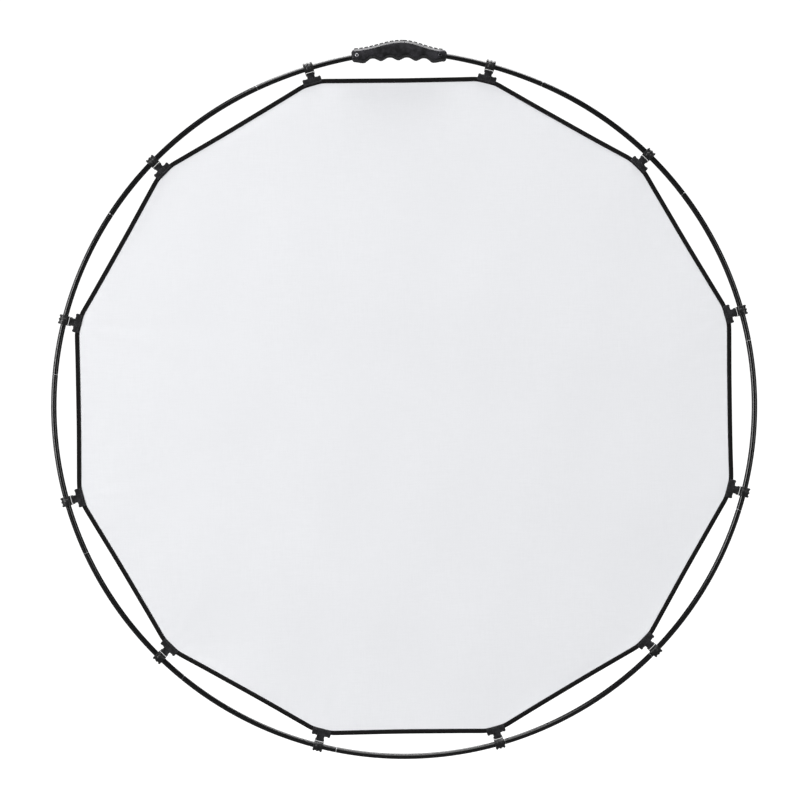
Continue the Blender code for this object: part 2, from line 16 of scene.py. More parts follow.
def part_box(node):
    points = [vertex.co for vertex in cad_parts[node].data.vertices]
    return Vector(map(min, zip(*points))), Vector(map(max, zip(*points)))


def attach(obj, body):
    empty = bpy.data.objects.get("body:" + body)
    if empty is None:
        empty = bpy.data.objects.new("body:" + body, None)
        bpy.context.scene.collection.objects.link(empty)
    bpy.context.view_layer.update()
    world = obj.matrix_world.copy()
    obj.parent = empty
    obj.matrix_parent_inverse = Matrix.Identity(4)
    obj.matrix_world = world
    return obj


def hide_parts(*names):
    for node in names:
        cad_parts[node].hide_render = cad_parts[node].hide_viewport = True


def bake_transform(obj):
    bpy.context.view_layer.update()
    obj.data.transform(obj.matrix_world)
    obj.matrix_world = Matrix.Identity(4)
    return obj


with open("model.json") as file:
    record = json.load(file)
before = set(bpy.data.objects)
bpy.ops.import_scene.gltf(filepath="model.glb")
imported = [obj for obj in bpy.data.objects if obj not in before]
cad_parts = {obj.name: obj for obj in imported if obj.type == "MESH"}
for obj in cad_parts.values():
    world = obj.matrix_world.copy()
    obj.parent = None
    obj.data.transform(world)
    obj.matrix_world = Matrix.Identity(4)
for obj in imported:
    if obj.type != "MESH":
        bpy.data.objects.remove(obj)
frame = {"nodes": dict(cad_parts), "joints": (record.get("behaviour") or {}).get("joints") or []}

MM = 0.001
RANDOM = np.random.default_rng(11)
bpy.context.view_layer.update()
JOINTS = {joint["name"]: joint for joint in frame["joints"]}

# The ring, as the CAD model has it
CLIP_COUNT = 12
RING_RADIUS = 407.0 * MM
TUBE_RADIUS = 3.25 * MM
TUBE_BORE = 2.65 * MM
PEAK_HEIGHT = 5.5 * MM
PEAK_REACH = 24.0
TUBE_END_GAP = 0.08 * MM
COLLAR_LOW = 0.03 * MM
COLLAR_HIGH = 0.62 * MM
NEXT_TUBE = 0.7 * MM
PLUG_RADIUS = 2.25 * MM
TUBE_END_IN_GRIP = 38.0 * MM
OPEN_JOINT = 168.0
FERRULE_TILT = 1.0

# Hand grip
GRIP_HALF_LENGTH = 55.5 * MM
CROWN_SHIFT = 4.0 * MM
CROWN_REACH_LEFT = 50.0 * MM
CROWN_REACH_RIGHT = 43.0 * MM
GRIP_END_TOP = 415.7 * MM
GRIP_CROWN_TOP = 422.8 * MM
GRIP_LEAN = -0.0105
GRIP_TOP_LEAN = -0.02
FEATURE_SHIFT = -1.0 * MM
GROOVE_PITCH = 20.5 * MM
GROOVE_TOP = 406.3 * MM
LOBE_BOTTOM = 402.8 * MM
LOBE_SHARPNESS = 1.3
OUTER_LOBE_DROP = 1.1 * MM
GRIP_END_BOTTOM = 404.8 * MM
SCREW_PLACE = 48.4 * MM
SCREW_RADIUS = 409.3 * MM
HEAD_RADIUS = 2.4 * MM
GRIP_HALF_DEPTH = 12.0 * MM
STRIP_SINK = 0.9 * MM
SEAM_PLACE = 6.0 * MM
SEAM_HALF_WIDTH = 0.34 * MM

# Panel
HEM_AT_TAB = 389.2 * MM
HEM_HALF_WIDTH = 2.7 * MM
HEM_BOW = 0.6 * MM
TAB_LENGTH = 22.0 * MM
BAR_RADIUS = 399.6 * MM
TUBE_IN_CLIP = RING_RADIUS - BAR_RADIUS
STRAP_HALF_WIDTH = 4.5 * MM
BAR_END = 0.25 * MM
HOOK_HALF_WIDTH = 5.6 * MM
STITCH_PITCH = 2.8 * MM
HEM_ROW = -1.55 * MM
TAB_PITCH = 2.6 * MM
TAB_ROWS = (-10.4 * MM, -5.6 * MM)
SHEET_THICKNESS = 0.24 * MM
SHEET_DEPTH = 0.2 * MM


def ring_centre():
    """The ring's centre is halfway between two clips' pins that face each other at its sides."""
    left = Vector(JOINTS["clip_04_swing"]["pos_m"])
    right = Vector(JOINTS["clip_10_swing"]["pos_m"])
    return (left + right) / 2


CENTRE = ring_centre()
GRIP_RADIUS = -CENTRE.z


# ---- places round the ring ----


def outward(angle):
    turn = math.radians(angle)
    return Vector((-math.sin(turn), 0, math.cos(turn)))


def along(angle):
    turn = math.radians(angle)
    return Vector((-math.cos(turn), 0, -math.sin(turn)))


def polar(angle, radius, depth=0.0):
    return CENTRE + outward(angle) * radius + Vector((0, depth, 0))


def angle_of(name):
    """The angle round the ring of this joint, from 0 to 360."""
    place = Vector(JOINTS[name]["pos_m"]) - CENTRE
    return math.degrees(math.atan2(-place.x, place.z)) % 360


def nearness(angle):
    """1 at the ring's top, falling to 0 where the fixed tubes begin to rise."""
    from_top = abs((angle + 180) % 360 - 180)
    return max(0.0, 1 - from_top / PEAK_REACH)


def rise(angle):
    """How much further out the fixed tubes lie here than the round ring, as they rise towards the grip."""
    return PEAK_HEIGHT * nearness(angle) ** 2


def slope(angle):
    """How many degrees the fixed tubes fall inwards here, going away from the grip."""
    fall = 2 * PEAK_HEIGHT * nearness(angle) / math.radians(PEAK_REACH)
    return math.degrees(math.atan2(fall, RING_RADIUS + rise(angle)))


def on_ring(angle):
    return polar(angle, RING_RADIUS + rise(angle))


def degrees_of(length):
    return math.degrees(length / RING_RADIUS)


def placed(x_axis, y_axis, z_axis, place):
    matrix = Matrix((x_axis, y_axis, z_axis)).transposed().to_4x4()
    matrix.translation = place
    return matrix


def clip_angles():
    return [angle_of(f"clip_{number:02d}_swing") for number in range(1, CLIP_COUNT + 1)]


def hook_matrix(angle):
    """+X outwards, +Y towards the viewer of the white side, +Z along the clip's bar."""
    return placed(outward(angle), (0, -1, 0), -along(angle), polar(angle, BAR_RADIUS + rise(angle)))


def ring_matrix(angle, direction):
    """Local Z along the ring: direction is +1 for anticlockwise."""
    turned_in = angle + direction * slope(angle)
    axis = along(turned_in) * direction
    out = outward(turned_in)
    return placed(out, axis.cross(out), axis, on_ring(angle))


# ---- mesh tools ----


def smoothstep(value, low, high):
    share = np.clip((np.asarray(value, float) - low) / (high - low), 0, 1)
    return share * share * (3 - 2 * share)


def hump(value, middle, width):
    return np.exp(-(((np.asarray(value, float) - middle) / width) ** 2))


def add_object(name, mesh, matrix=None):
    obj = bpy.data.objects.new(name, mesh)
    bpy.context.scene.collection.objects.link(obj)
    if matrix is not None:
        obj.matrix_world = matrix
    return obj


def face_out(mesh):
    work = bmesh.new()
    work.from_mesh(mesh)
    bmesh.ops.recalc_face_normals(work, faces=work.faces)
    work.to_mesh(mesh)
    work.free()


def skin(name, rings, along_run=None, across_run=None, looped=False):
    """A closed mesh through rings of points. Its UV map "run" holds metres along and across, where given.
    With looped the last ring joins the first, and else the two end rings are capped."""
    rings = np.asarray(rings, float)
    count, size = rings.shape[:2]
    rows = count if looped else count - 1
    row, column = (part.ravel() for part in np.meshgrid(range(rows), range(size), indexing="ij"))
    next_row, next_column = (row + 1) % count, (column + 1) % size
    corners = [row * size + column, row * size + next_column]
    corners += [next_row * size + next_column, next_row * size + column]
    faces = np.stack(corners, 1).tolist()
    if not looped:
        faces += [list(range(size))[::-1], list(range((count - 1) * size, count * size))]
    mesh = bpy.data.meshes.new(name)
    mesh.from_pydata(rings.reshape(-1, 3).tolist(), [], faces)
    if along_run is not None:
        layer = mesh.uv_layers.new(name="run")
        u = np.stack([along_run[row], along_run[row], along_run[row + 1], along_run[row + 1]], 1)
        near, far = across_run[column], across_run[column + 1]
        v = np.stack([near, far, far, near], 1)
        values = np.zeros((len(mesh.loops), 2))
        values[: u.size] = np.stack([u.ravel(), v.ravel()], 1)
        layer.data.foreach_set("uv", values.ravel())
    face_out(mesh)
    return mesh


def lengths_along(points, closed=False):
    """The distance run at each point, and at the return to the first where the line is closed."""
    points = np.asarray(points, float)
    if closed:
        points = np.concatenate([points, points[:1]])
    return np.concatenate([[0], np.cumsum(np.linalg.norm(np.diff(points, axis=0), axis=1))])


def evened(points, count, closed=True):
    """The same line through evenly spaced points."""
    points = np.asarray(points, float)
    run = lengths_along(points, closed)
    if closed:
        points = np.concatenate([points, points[:1]])
        wanted = np.arange(count) * run[-1] / count
    else:
        wanted = np.linspace(0, run[-1], count)
    return np.stack([np.interp(wanted, run, points[:, axis]) for axis in range(points.shape[1])], 1)


def softened(points, spread):
    """A closed line with its corners rounded: spread is in points."""
    reach = int(4 * spread)
    offsets = np.arange(-reach, reach + 1)
    weights = np.exp(-0.5 * (offsets / spread) ** 2)
    weights /= weights.sum()
    return sum(weight * np.roll(points, offset, axis=0) for offset, weight in zip(offsets, weights))


def circle(radius, sides):
    turns = np.arange(sides) * 2 * math.pi / sides
    return radius * np.stack([np.cos(turns), np.sin(turns)], 1)


def turned(name, profile, sides=40, looped=True):
    """A profile of (radius, height) turned about local Z."""
    rings = []
    for radius, height in profile:
        ring = circle(radius, sides)
        rings.append(np.column_stack([ring, np.full(sides, height)]))
    return skin(name, rings, looped=looped)


def extruded(name, outline, low, high):
    """An (x, y) outline made a prism between two heights."""
    outline = np.asarray(outline, float)
    rings = [np.column_stack([outline, np.full(len(outline), height)]) for height in (low, high)]
    return skin(name, rings)


def block(name, low, high, matrix=None):
    """A cutter with square corners."""
    outline = [(low[0], low[1]), (high[0], low[1]), (high[0], high[1]), (low[0], high[1])]
    return add_object(name, extruded(name, outline, low[2], high[2]), matrix)


def rod(name, radius, low, high, matrix, sides=24):
    """A round cutter along local Z."""
    return add_object(name, turned(name, [(radius, low), (radius, high)], sides, looped=False), matrix)


def settle(obj):
    """The object with its modifiers applied."""
    bpy.context.view_layer.update()
    evaluated = obj.evaluated_get(bpy.context.evaluated_depsgraph_get())
    mesh = bpy.data.meshes.new_from_object(evaluated)
    obj.modifiers.clear()
    obj.data = mesh
    return obj


def carve(obj, others, operation="DIFFERENCE"):
    """The object with the others cut from it or joined to it. The others are used up."""
    for other in others:
        modifier = obj.modifiers.new(operation, "BOOLEAN")
        modifier.operation = operation
        modifier.object = other
    settle(obj)
    for other in others:
        bpy.data.objects.remove(other, do_unlink=True)
    return obj


def eased(obj, width, angle=35, segments=2):
    """The object with its sharp edges rounded to this width."""
    work = bmesh.new()
    work.from_mesh(obj.data)
    bmesh.ops.remove_doubles(work, verts=work.verts, dist=0.004 * MM)
    bmesh.ops.dissolve_limit(
        work, angle_limit=math.radians(1), verts=work.verts, edges=work.edges, delimit={"UV"}
    )
    work.to_mesh(obj.data)
    work.free()
    bevel = obj.modifiers.new("Ease", "BEVEL")
    bevel.width = width
    bevel.segments = segments
    bevel.limit_method = "ANGLE"
    bevel.angle_limit = math.radians(angle)
    return settle(obj)


def scattered(name, base, matrices):
    """One mesh with a copy of the base mesh at each matrix."""
    points = np.array([vertex.co for vertex in base.vertices])
    faces = [list(face.vertices) for face in base.polygons]
    uvs = np.empty(len(base.loops) * 2)
    base.uv_layers["run"].data.foreach_get("uv", uvs)
    all_points = []
    all_faces = []
    for number, matrix in enumerate(matrices):
        matrix = np.array(matrix)
        all_points.append(points @ matrix[:3, :3].T + matrix[:3, 3])
        all_faces += [[index + number * len(points) for index in face] for face in faces]
    mesh = bpy.data.meshes.new(name)
    mesh.from_pydata(np.concatenate(all_points).tolist(), [], all_faces)
    mesh.uv_layers.new(name="run").data.foreach_set("uv", np.tile(uvs, len(matrices)))
    return mesh


def dressed(obj, material, body, slot, *nodes, smooth=40):
    """The piece with its material, riding on its body in place of these CAD nodes."""
    obj.data.materials.clear()
    obj.data.materials.append(material)
    obj.data.shade_smooth()
    obj.data.set_sharp_from_angle(angle=math.radians(smooth))
    if nodes:
        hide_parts(*nodes)
    if body:
        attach(obj, body)
    return obj


# ---- materials ----


def tone(red, green, blue):
    """A display colour, each 0 to 255, as the shader's linear colour."""
    shares = [value / 255 for value in (red, green, blue)]
    linear = [share / 12.92 if share <= 0.04045 else ((share + 0.055) / 1.055) ** 2.4 for share in shares]
    return (*linear, 1)


class Surface:
    """A material under construction. An input that is a socket is linked, and any other is set."""

    def __init__(self, name, **settings):
        self.material = bpy.data.materials.new(name)
        self.material.use_nodes = True
        self.tree = self.material.node_tree
        self.shader = self.tree.nodes["Principled BSDF"]
        for socket, value in settings.items():
            self.feed(self.shader.inputs[socket.replace("_", " ")], value)

    def feed(self, socket, value):
        if isinstance(value, bpy.types.NodeSocket):
            self.tree.links.new(value, socket)
        else:
            socket.default_value = value

    def add(self, kind, inputs=(), output=0, **settings):
        made = self.tree.nodes.new("ShaderNode" + kind)
        for key, value in settings.items():
            setattr(made, key, value)
        for key, value in dict(inputs).items():
            self.feed(made.inputs[key], value)
        return made.outputs[output]

    def place(self, stretch=(1, 1, 1)):
        """Places in metres in the piece's own axes, stretched for a pattern with a direction."""
        spot = self.add("TexCoord", output="Object")
        return self.add("Mapping", {"Vector": spot, "Scale": stretch})

    def run(self, stretch=(1, 1, 1)):
        """Metres along and across a swept piece."""
        spot = self.add("UVMap", uv_map="run")
        return self.add("Mapping", {"Vector": spot, "Scale": stretch})

    def noise(self, size, where=None, detail=3.0, roughness=0.55):
        """Noise from 0 to 1, with lumps of about this size in metres."""
        inputs = {"Scale": 1 / size, "Detail": detail, "Roughness": roughness}
        return self.add("TexNoise", {**inputs, "Vector": where or self.place()})

    def axis(self, name, where):
        return self.add("SeparateXYZ", {0: where}, output=name)

    def math(self, operation, first, second=0.0):
        return self.add("Math", {0: first, 1: second}, operation=operation)

    def wave(self, distance, pitch):
        """A sine of the distance, from -1 to 1."""
        return self.math("SINE", self.math("MULTIPLY", distance, 2 * math.pi / pitch))

    def weave(self, spot, pitch_x, pitch_z):
        """A plain weave from 0 to 1, with its threads along X and Z."""
        warp = self.wave(self.axis("X", spot), pitch_x)
        weft = self.wave(self.axis("Z", spot), pitch_z)
        return self.spread(self.math("MULTIPLY", warp, weft), -1, 1)

    def spread(self, value, low, high, to_low=0.0, to_high=1.0):
        inputs = {"Value": value, 1: low, 2: high, 3: to_low, 4: to_high}
        return self.add("MapRange", inputs)

    def mix(self, share, first, second):
        return self.add("Mix", {0: share, 6: first, 7: second}, output=2, data_type="RGBA")

    def bump(self, height, depth, strength=1.0, under=None):
        """Bump of a height from 0 to 1, this deep in metres."""
        inputs = {"Height": height, "Distance": depth, "Strength": strength}
        if under is not None:
            inputs["Normal"] = under
        return self.add("Bump", inputs, output="Normal")

    def edges(self, low, high):
        """1 on outer edges, fading to 0 on flats."""
        return self.spread(self.add("NewGeometry", output="Pointiness"), low, high)

    def finish(self, **sockets):
        for name, value in sockets.items():
            self.feed(self.shader.inputs[name.replace("_", " ")], value)
        return self.material


def white_fabric():
    surface = Surface("fabric_white", Sheen_Weight=0.12, Sheen_Roughness=0.5, Specular_IOR_Level=0.25)
    spot = surface.place()
    weave = surface.weave(spot, 0.56 * MM, 0.5 * MM)
    slub_x = surface.noise(1.1 * MM, surface.place((0.08, 1, 1)), detail=2)
    slub_z = surface.noise(1.1 * MM, surface.place((1, 1, 0.08)), detail=2)
    slubs = surface.math("ADD", slub_x, slub_z)
    cloud = surface.noise(90 * MM, detail=4)
    shade = surface.mix(surface.spread(cloud, 0.3, 0.7), tone(236, 237, 240), tone(238, 239, 242))
    shade = surface.mix(surface.spread(slubs, 0.7, 1.35), shade, tone(234, 235, 238))
    creases = surface.noise(24 * MM, detail=2, roughness=0.4)
    normal = surface.bump(creases, 0.35 * MM, 0.2)
    normal = surface.bump(slubs, 0.03 * MM, 0.5, normal)
    normal = surface.bump(weave, 0.05 * MM, 0.5, normal)
    rough = surface.spread(slubs, 0.6, 1.4, 0.72, 0.88)
    return surface.finish(Base_Color=shade, Roughness=rough, Normal=normal)


def silver_fabric():
    surface = Surface("fabric_silver", Metallic=0.85, Specular_IOR_Level=0.5)
    spot = surface.place()
    weave = surface.weave(spot, 0.7 * MM, 0.7 * MM)
    crush = surface.noise(9 * MM, detail=5, roughness=0.6)
    folds = surface.add("TexVoronoi", {"Scale": 1 / (34 * MM), "Vector": spot}, feature="DISTANCE_TO_EDGE")
    folds = surface.spread(folds, 0.0, 0.12)
    cloud = surface.noise(60 * MM, detail=4)
    shade = surface.mix(surface.spread(cloud, 0.3, 0.7), tone(196, 198, 202), tone(212, 213, 216))
    # The fold lines, which are the bump's valleys, are painted a darker tone: painted shade in the creases.
    shade = surface.mix(folds, tone(182, 184, 189), shade)
    normal = surface.bump(folds, 0.25 * MM, 0.45)
    normal = surface.bump(crush, 0.5 * MM, 0.6, normal)
    normal = surface.bump(weave, 0.05 * MM, 0.4, normal)
    rough = surface.spread(crush, 0.3, 0.7, 0.28, 0.46)
    return surface.finish(Base_Color=shade, Roughness=rough, Normal=normal)


def binding_tape():
    surface = Surface("binding_tape", Sheen_Weight=0.05, Sheen_Roughness=0.4, Specular_IOR_Level=0.15)
    spot = surface.run()
    along_tape = surface.axis("X", spot)
    across_tape = surface.axis("Y", spot)
    slant = surface.math("ADD", along_tape, surface.math("MULTIPLY", across_tape, 0.6))
    twill = surface.spread(surface.wave(slant, 1.3 * MM), -1, 1)
    yarn = surface.spread(surface.wave(across_tape, 0.42 * MM), -1, 1)
    fuzz = surface.noise(0.6 * MM, detail=3)
    shade = surface.mix(twill, tone(4, 4, 4), tone(17, 16, 16))
    shade = surface.mix(surface.spread(fuzz, 0.35, 0.75), shade, tone(21, 20, 20))
    normal = surface.bump(fuzz, 0.08 * MM, 0.6)
    normal = surface.bump(yarn, 0.06 * MM, 0.6, normal)
    normal = surface.bump(twill, 0.16 * MM, 0.8, normal)
    rough = surface.spread(fuzz, 0.3, 0.7, 0.72, 0.92)
    return surface.finish(Base_Color=shade, Roughness=rough, Normal=normal)


def webbing():
    surface = Surface("strap_webbing", Sheen_Weight=0.12, Sheen_Roughness=0.4, Specular_IOR_Level=0.22)
    spot = surface.run()
    ribs = surface.spread(surface.wave(surface.axis("X", spot), 0.9 * MM), -1, 1)
    yarn = surface.spread(surface.wave(surface.axis("Y", spot), 0.5 * MM), -1, 1)
    weave = surface.math("MULTIPLY", ribs, yarn)
    fuzz = surface.noise(0.8 * MM, detail=4)
    patches = surface.noise(6 * MM, detail=2)
    shade = surface.mix(weave, tone(15, 15, 16), tone(40, 40, 43))
    shade = surface.mix(surface.spread(patches, 0.4, 0.75), shade, tone(46, 46, 49))
    normal = surface.bump(fuzz, 0.1 * MM, 0.5)
    normal = surface.bump(weave, 0.18 * MM, 0.8, normal)
    rough = surface.spread(fuzz, 0.3, 0.7, 0.65, 0.88)
    return surface.finish(Base_Color=shade, Roughness=rough, Normal=normal)


def thread(name, light):
    """Twisted sewing thread, lighter or darker than the cloth by its display value."""
    surface = Surface(name, Sheen_Weight=0.3, Sheen_Roughness=0.35, Specular_IOR_Level=0.4)
    spot = surface.run()
    slant = surface.math("ADD", surface.axis("X", spot), surface.axis("Y", spot))
    twist = surface.spread(surface.wave(slant, 0.45 * MM), -1, 1)
    fuzz = surface.noise(0.3 * MM)
    shade = surface.mix(twist, tone(light * 0.6, light * 0.6, light * 0.62), tone(light, light, light + 3))
    normal = surface.bump(twist, 0.06 * MM, 0.8, surface.bump(fuzz, 0.03 * MM, 0.5))
    rough = surface.spread(fuzz, 0.3, 0.7, 0.5, 0.7)
    return surface.finish(Base_Color=shade, Roughness=rough, Normal=normal)


def black_tube():
    surface = Surface("tube_black", Specular_IOR_Level=0.4, Coat_Weight=0.25, Coat_Roughness=0.1)
    lines = surface.noise(0.9 * MM, surface.run((0.02, 1, 1)), detail=4)
    smears = surface.noise(14 * MM, surface.run((0.4, 1, 1)), detail=3)
    specks = surface.noise(0.7 * MM, detail=2)
    shade = surface.mix(surface.spread(smears, 0.35, 0.7), tone(3, 3, 4), tone(6, 6, 7))
    scuffs = surface.math("MULTIPLY", surface.spread(lines, 0.62, 0.74), surface.spread(smears, 0.5, 0.65))
    shade = surface.mix(scuffs, shade, tone(40, 40, 42))
    shade = surface.mix(surface.spread(specks, 0.72, 0.78), shade, tone(46, 46, 48))
    smooth = surface.spread(smears, 0.3, 0.7, 0.14, 0.22)
    rough = surface.math("ADD", smooth, surface.spread(lines, 0.3, 0.8, 0, 0.08))
    normal = surface.bump(lines, 0.012 * MM, 0.5, surface.bump(specks, 0.01 * MM, 0.5))
    return surface.finish(Base_Color=shade, Roughness=rough, Normal=normal)


def bare_aluminium():
    surface = Surface("bare_aluminium", Metallic=1.0)
    spot = surface.place()
    turning = surface.noise(0.16 * MM, surface.place((0.02, 0.02, 1)), detail=3)
    stain = surface.noise(1.8 * MM, spot)
    shade = surface.mix(surface.spread(stain, 0.35, 0.7), tone(162, 162, 164), tone(124, 125, 128))
    rough = surface.spread(turning, 0.3, 0.7, 0.22, 0.42)
    normal = surface.bump(turning, 0.03 * MM, 0.7)
    return surface.finish(Base_Color=shade, Roughness=rough, Normal=normal)


def clip_plastic():
    surface = Surface("clip_plastic", Specular_IOR_Level=0.5)
    grain = surface.noise(0.35 * MM, detail=3)
    flow = surface.noise(3 * MM, surface.place((1, 1, 0.3)), detail=3)
    chance = surface.add("ObjectInfo", output="Random")
    light = surface.math("MULTIPLY", surface.spread(flow, 0.3, 0.7), chance)
    shade = surface.mix(light, tone(8, 8, 9), tone(20, 20, 22))
    worn = surface.math("MULTIPLY", surface.edges(0.53, 0.62), surface.spread(flow, 0.35, 0.65))
    shade = surface.mix(worn, shade, tone(44, 44, 47))
    rough = surface.spread(grain, 0.3, 0.7, 0.3, 0.46)
    normal = surface.bump(grain, 0.02 * MM, 0.6)
    return surface.finish(Base_Color=shade, Roughness=rough, Normal=normal)


def grip_plastic():
    surface = Surface("grip_plastic", Specular_IOR_Level=0.35)
    grain = surface.noise(0.5 * MM, detail=4, roughness=0.65)
    blotches = surface.noise(9 * MM, detail=5, roughness=0.65)
    clouds = surface.noise(26 * MM, detail=2)
    shade = surface.mix(surface.spread(blotches, 0.4, 0.62), tone(12, 12, 14), tone(42, 41, 46))
    shade = surface.mix(surface.spread(clouds, 0.45, 0.75, 0, 0.6), shade, tone(12, 12, 14))
    worn = surface.math("MULTIPLY", surface.edges(0.52, 0.58), surface.spread(blotches, 0.35, 0.6))
    shade = surface.mix(worn, shade, tone(64, 64, 69))
    rough = surface.spread(blotches, 0.3, 0.7, 0.4, 0.52)
    normal = surface.bump(blotches, 0.12 * MM, 0.3)
    normal = surface.bump(grain, 0.05 * MM, 0.7, normal)
    return surface.finish(Base_Color=shade, Roughness=rough, Normal=normal)


def grip_rubber():
    surface = Surface("grip_rubber", Specular_IOR_Level=0.35, Sheen_Weight=0.1)
    grain = surface.noise(0.3 * MM, detail=3)
    dust = surface.noise(2.5 * MM, detail=5)
    shade = surface.mix(surface.spread(dust, 0.45, 0.8), tone(12, 12, 13), tone(32, 31, 31))
    shade = surface.mix(surface.edges(0.54, 0.62), shade, tone(30, 30, 32))
    rough = surface.spread(dust, 0.3, 0.7, 0.66, 0.85)
    normal = surface.bump(grain, 0.04 * MM, 0.7)
    return surface.finish(Base_Color=shade, Roughness=rough, Normal=normal)


def screw_steel(name, bright, stained):
    """Zinc plated steel with turning marks and painted shade in its cross recess: bright and stained are
    display values of its two tones.
    """
    surface = Surface(name, Metallic=1.0)
    spot = surface.place()
    ring = surface.add("VectorMath", {0: surface.place((1, 1, 0))}, output="Value", operation="LENGTH")
    turning = surface.spread(surface.wave(ring, 0.22 * MM), -1, 1)
    stain = surface.noise(0.9 * MM, spot)
    clean, dull = tone(bright, bright, bright + 4), tone(stained, stained, stained + 4)
    shade = surface.mix(surface.spread(stain, 0.4, 0.7), clean, dull)
    # The cross recess is painted a near black tone: painted shade, where the recess lies in shadow.
    deep = surface.spread(surface.axis("Z", spot), 10.9 * MM, 11.3 * MM, 1, 0)
    recess_painted_shade = surface.math("MULTIPLY", deep, surface.spread(ring, 1.4 * MM, 1.5 * MM, 1, 0))
    shade = surface.mix(recess_painted_shade, shade, tone(8, 8, 9))
    rough = surface.spread(stain, 0.3, 0.7, 0.42, 0.6)
    normal = surface.bump(turning, 0.015 * MM, 0.5)
    return surface.finish(Base_Color=shade, Roughness=rough, Normal=normal)


def stop_plastic():
    surface = Surface("stop_plastic", Specular_IOR_Level=0.4)
    grain = surface.noise(0.4 * MM)
    shade = surface.mix(surface.spread(grain, 0.3, 0.7), tone(24, 24, 25), tone(44, 44, 46))
    rough = surface.spread(grain, 0.3, 0.7, 0.45, 0.62)
    normal = surface.bump(grain, 0.03 * MM, 0.6)
    return surface.finish(Base_Color=shade, Roughness=rough, Normal=normal)


def elastic_braid():
    surface = Surface("elastic_braid", Sheen_Weight=0.25, Specular_IOR_Level=0.3)
    spot = surface.run()
    left = surface.math("ADD", surface.axis("X", spot), surface.axis("Y", spot))
    right = surface.math("SUBTRACT", surface.axis("X", spot), surface.axis("Y", spot))
    braid = surface.math("MULTIPLY", surface.wave(left, 0.95 * MM), surface.wave(right, 0.95 * MM))
    braid = surface.spread(braid, -1, 1)
    fleck = surface.spread(surface.wave(left, 3.8 * MM), 0.85, 0.95)
    shade = surface.mix(braid, tone(20, 20, 21), tone(46, 46, 48))
    shade = surface.mix(fleck, shade, tone(150, 150, 150))
    rough = surface.spread(braid, 0, 1, 0.85, 0.68)
    normal = surface.bump(braid, 0.1 * MM, 0.8)
    return surface.finish(Base_Color=shade, Roughness=rough, Normal=normal)


# ---- frame ring ----


def bent_rings(profile, start, direction, sides):
    """Rings of the ring's own curve, from (distance along, radius) pairs."""
    rings = []
    for distance, radius in profile:
        angle = start + direction * degrees_of(distance)
        across = circle(radius, sides)
        middle = on_ring(angle)
        out = outward(angle)
        rings.append([middle + out * x + Vector((0, y, 0)) for x, y in across])
    return rings


def bent_tube(name, start, end, steps=22, sides=32):
    """A hollow curved tube with broken edges, between two angles in degrees."""
    direction = 1 if end > start else -1
    length = math.radians(abs(end - start)) * RING_RADIUS
    ease = 0.15 * MM
    outer = [(ease + (length - 2 * ease) * step / steps, TUBE_RADIUS) for step in range(steps + 1)]
    profile = [(0, TUBE_RADIUS - ease)] + outer + [(length, TUBE_RADIUS - ease)]
    inner = [(length * (1 - step / steps), TUBE_BORE) for step in range(steps + 1)]
    rings = bent_rings(profile + inner, start, direction, sides)
    far = np.array([distance for distance, _ in profile + inner] + [0])
    around = np.arange(sides + 1) * 2 * math.pi * TUBE_RADIUS / sides
    return skin(name, rings, far, around, looped=True)


def plug_profile(with_nose):
    """The turned plug: a grooved sleeve inside its own tube, a bare collar, and a nose for the next tube."""
    bore, sleeve, collar = 0.95 * MM, PLUG_RADIUS, TUBE_RADIUS
    top = COLLAR_HIGH + 8 * MM
    profile = [(bore, top), (sleeve - 0.25 * MM, top), (sleeve, top - 0.3 * MM)]
    for groove in range(4):
        middle = top - (1.6 + 1.5 * groove) * MM
        profile += [(sleeve, middle + 0.3 * MM), (sleeve - 0.2 * MM, middle + 0.15 * MM)]
        profile += [(sleeve - 0.2 * MM, middle - 0.15 * MM), (sleeve, middle - 0.3 * MM)]
    profile += [(sleeve, COLLAR_HIGH), (collar - 0.08 * MM, COLLAR_HIGH), (collar, COLLAR_HIGH - 0.1 * MM)]
    profile += [(collar, COLLAR_LOW + 0.1 * MM), (collar - 0.08 * MM, COLLAR_LOW)]
    if not with_nose:
        return profile + [(bore, COLLAR_LOW)]
    nose = PLUG_RADIUS - 0.05 * MM
    profile += [(nose, COLLAR_LOW), (nose, -0.9 * MM)]
    for step in range(1, 7):
        share = step / 6
        profile.append((nose - 0.9 * MM * share**2, -0.9 * MM - 2.1 * MM * share))
    return profile + [(bore, -3.0 * MM)]


def build_ring(tube_look, metal_look, cord_look):
    """Two chains of tubes from the grip, joined by plugs and an elastic cord, which meet at an open joint."""
    left = [angle_of(f"left_fold_{number}") for number in range(1, 6)] + [OPEN_JOINT]
    right = [angle_of("frame_fold")] + [angle_of(f"right_fold_{number}") for number in range(2, 7)]
    right = [angle - 360 for angle in right] + [OPEN_JOINT - 360]
    room = degrees_of(NEXT_TUBE)
    back_off = degrees_of(TUBE_END_GAP)
    for side, letter, word, joints in ((1, "l", "left", left), (-1, "r", "right", right)):
        inside = side * degrees_of(TUBE_END_IN_GRIP)
        add_tube(f"tube_{letter}0", inside, joints[0] - side * back_off, "root", tube_look)
        for number, (start, end) in enumerate(zip(joints, joints[1:]), 1):
            body = f"{word}_{number}"
            last = end == OPEN_JOINT - 360
            end -= side * (room if last else back_off)
            add_tube(f"tube_{letter}{number}", start + side * room, end, body, tube_look)
            add_plug(f"ferrule_{letter}{number}", start, side, True, body, metal_look)
            add_cord(f"hinge_cord_{letter}{number}", start, side, cord_look)
    add_plug("ferrule_open", OPEN_JOINT, 1, False, "right_6", metal_look)


def add_tube(node, start, end, body, look):
    obj = add_object(f"ring_{node}", bent_tube(node, start, end))
    dressed(obj, look, body, "tube_black", node)


def add_plug(node, angle, side, with_nose, body, look):
    matrix = ring_matrix(angle + side * FERRULE_TILT, side)
    matrix.translation = on_ring(angle)
    obj = add_object(f"ring_{node}", turned(node, plug_profile(with_nose)), matrix)
    dressed(obj, look, body, "bare_aluminium", node, smooth=30)


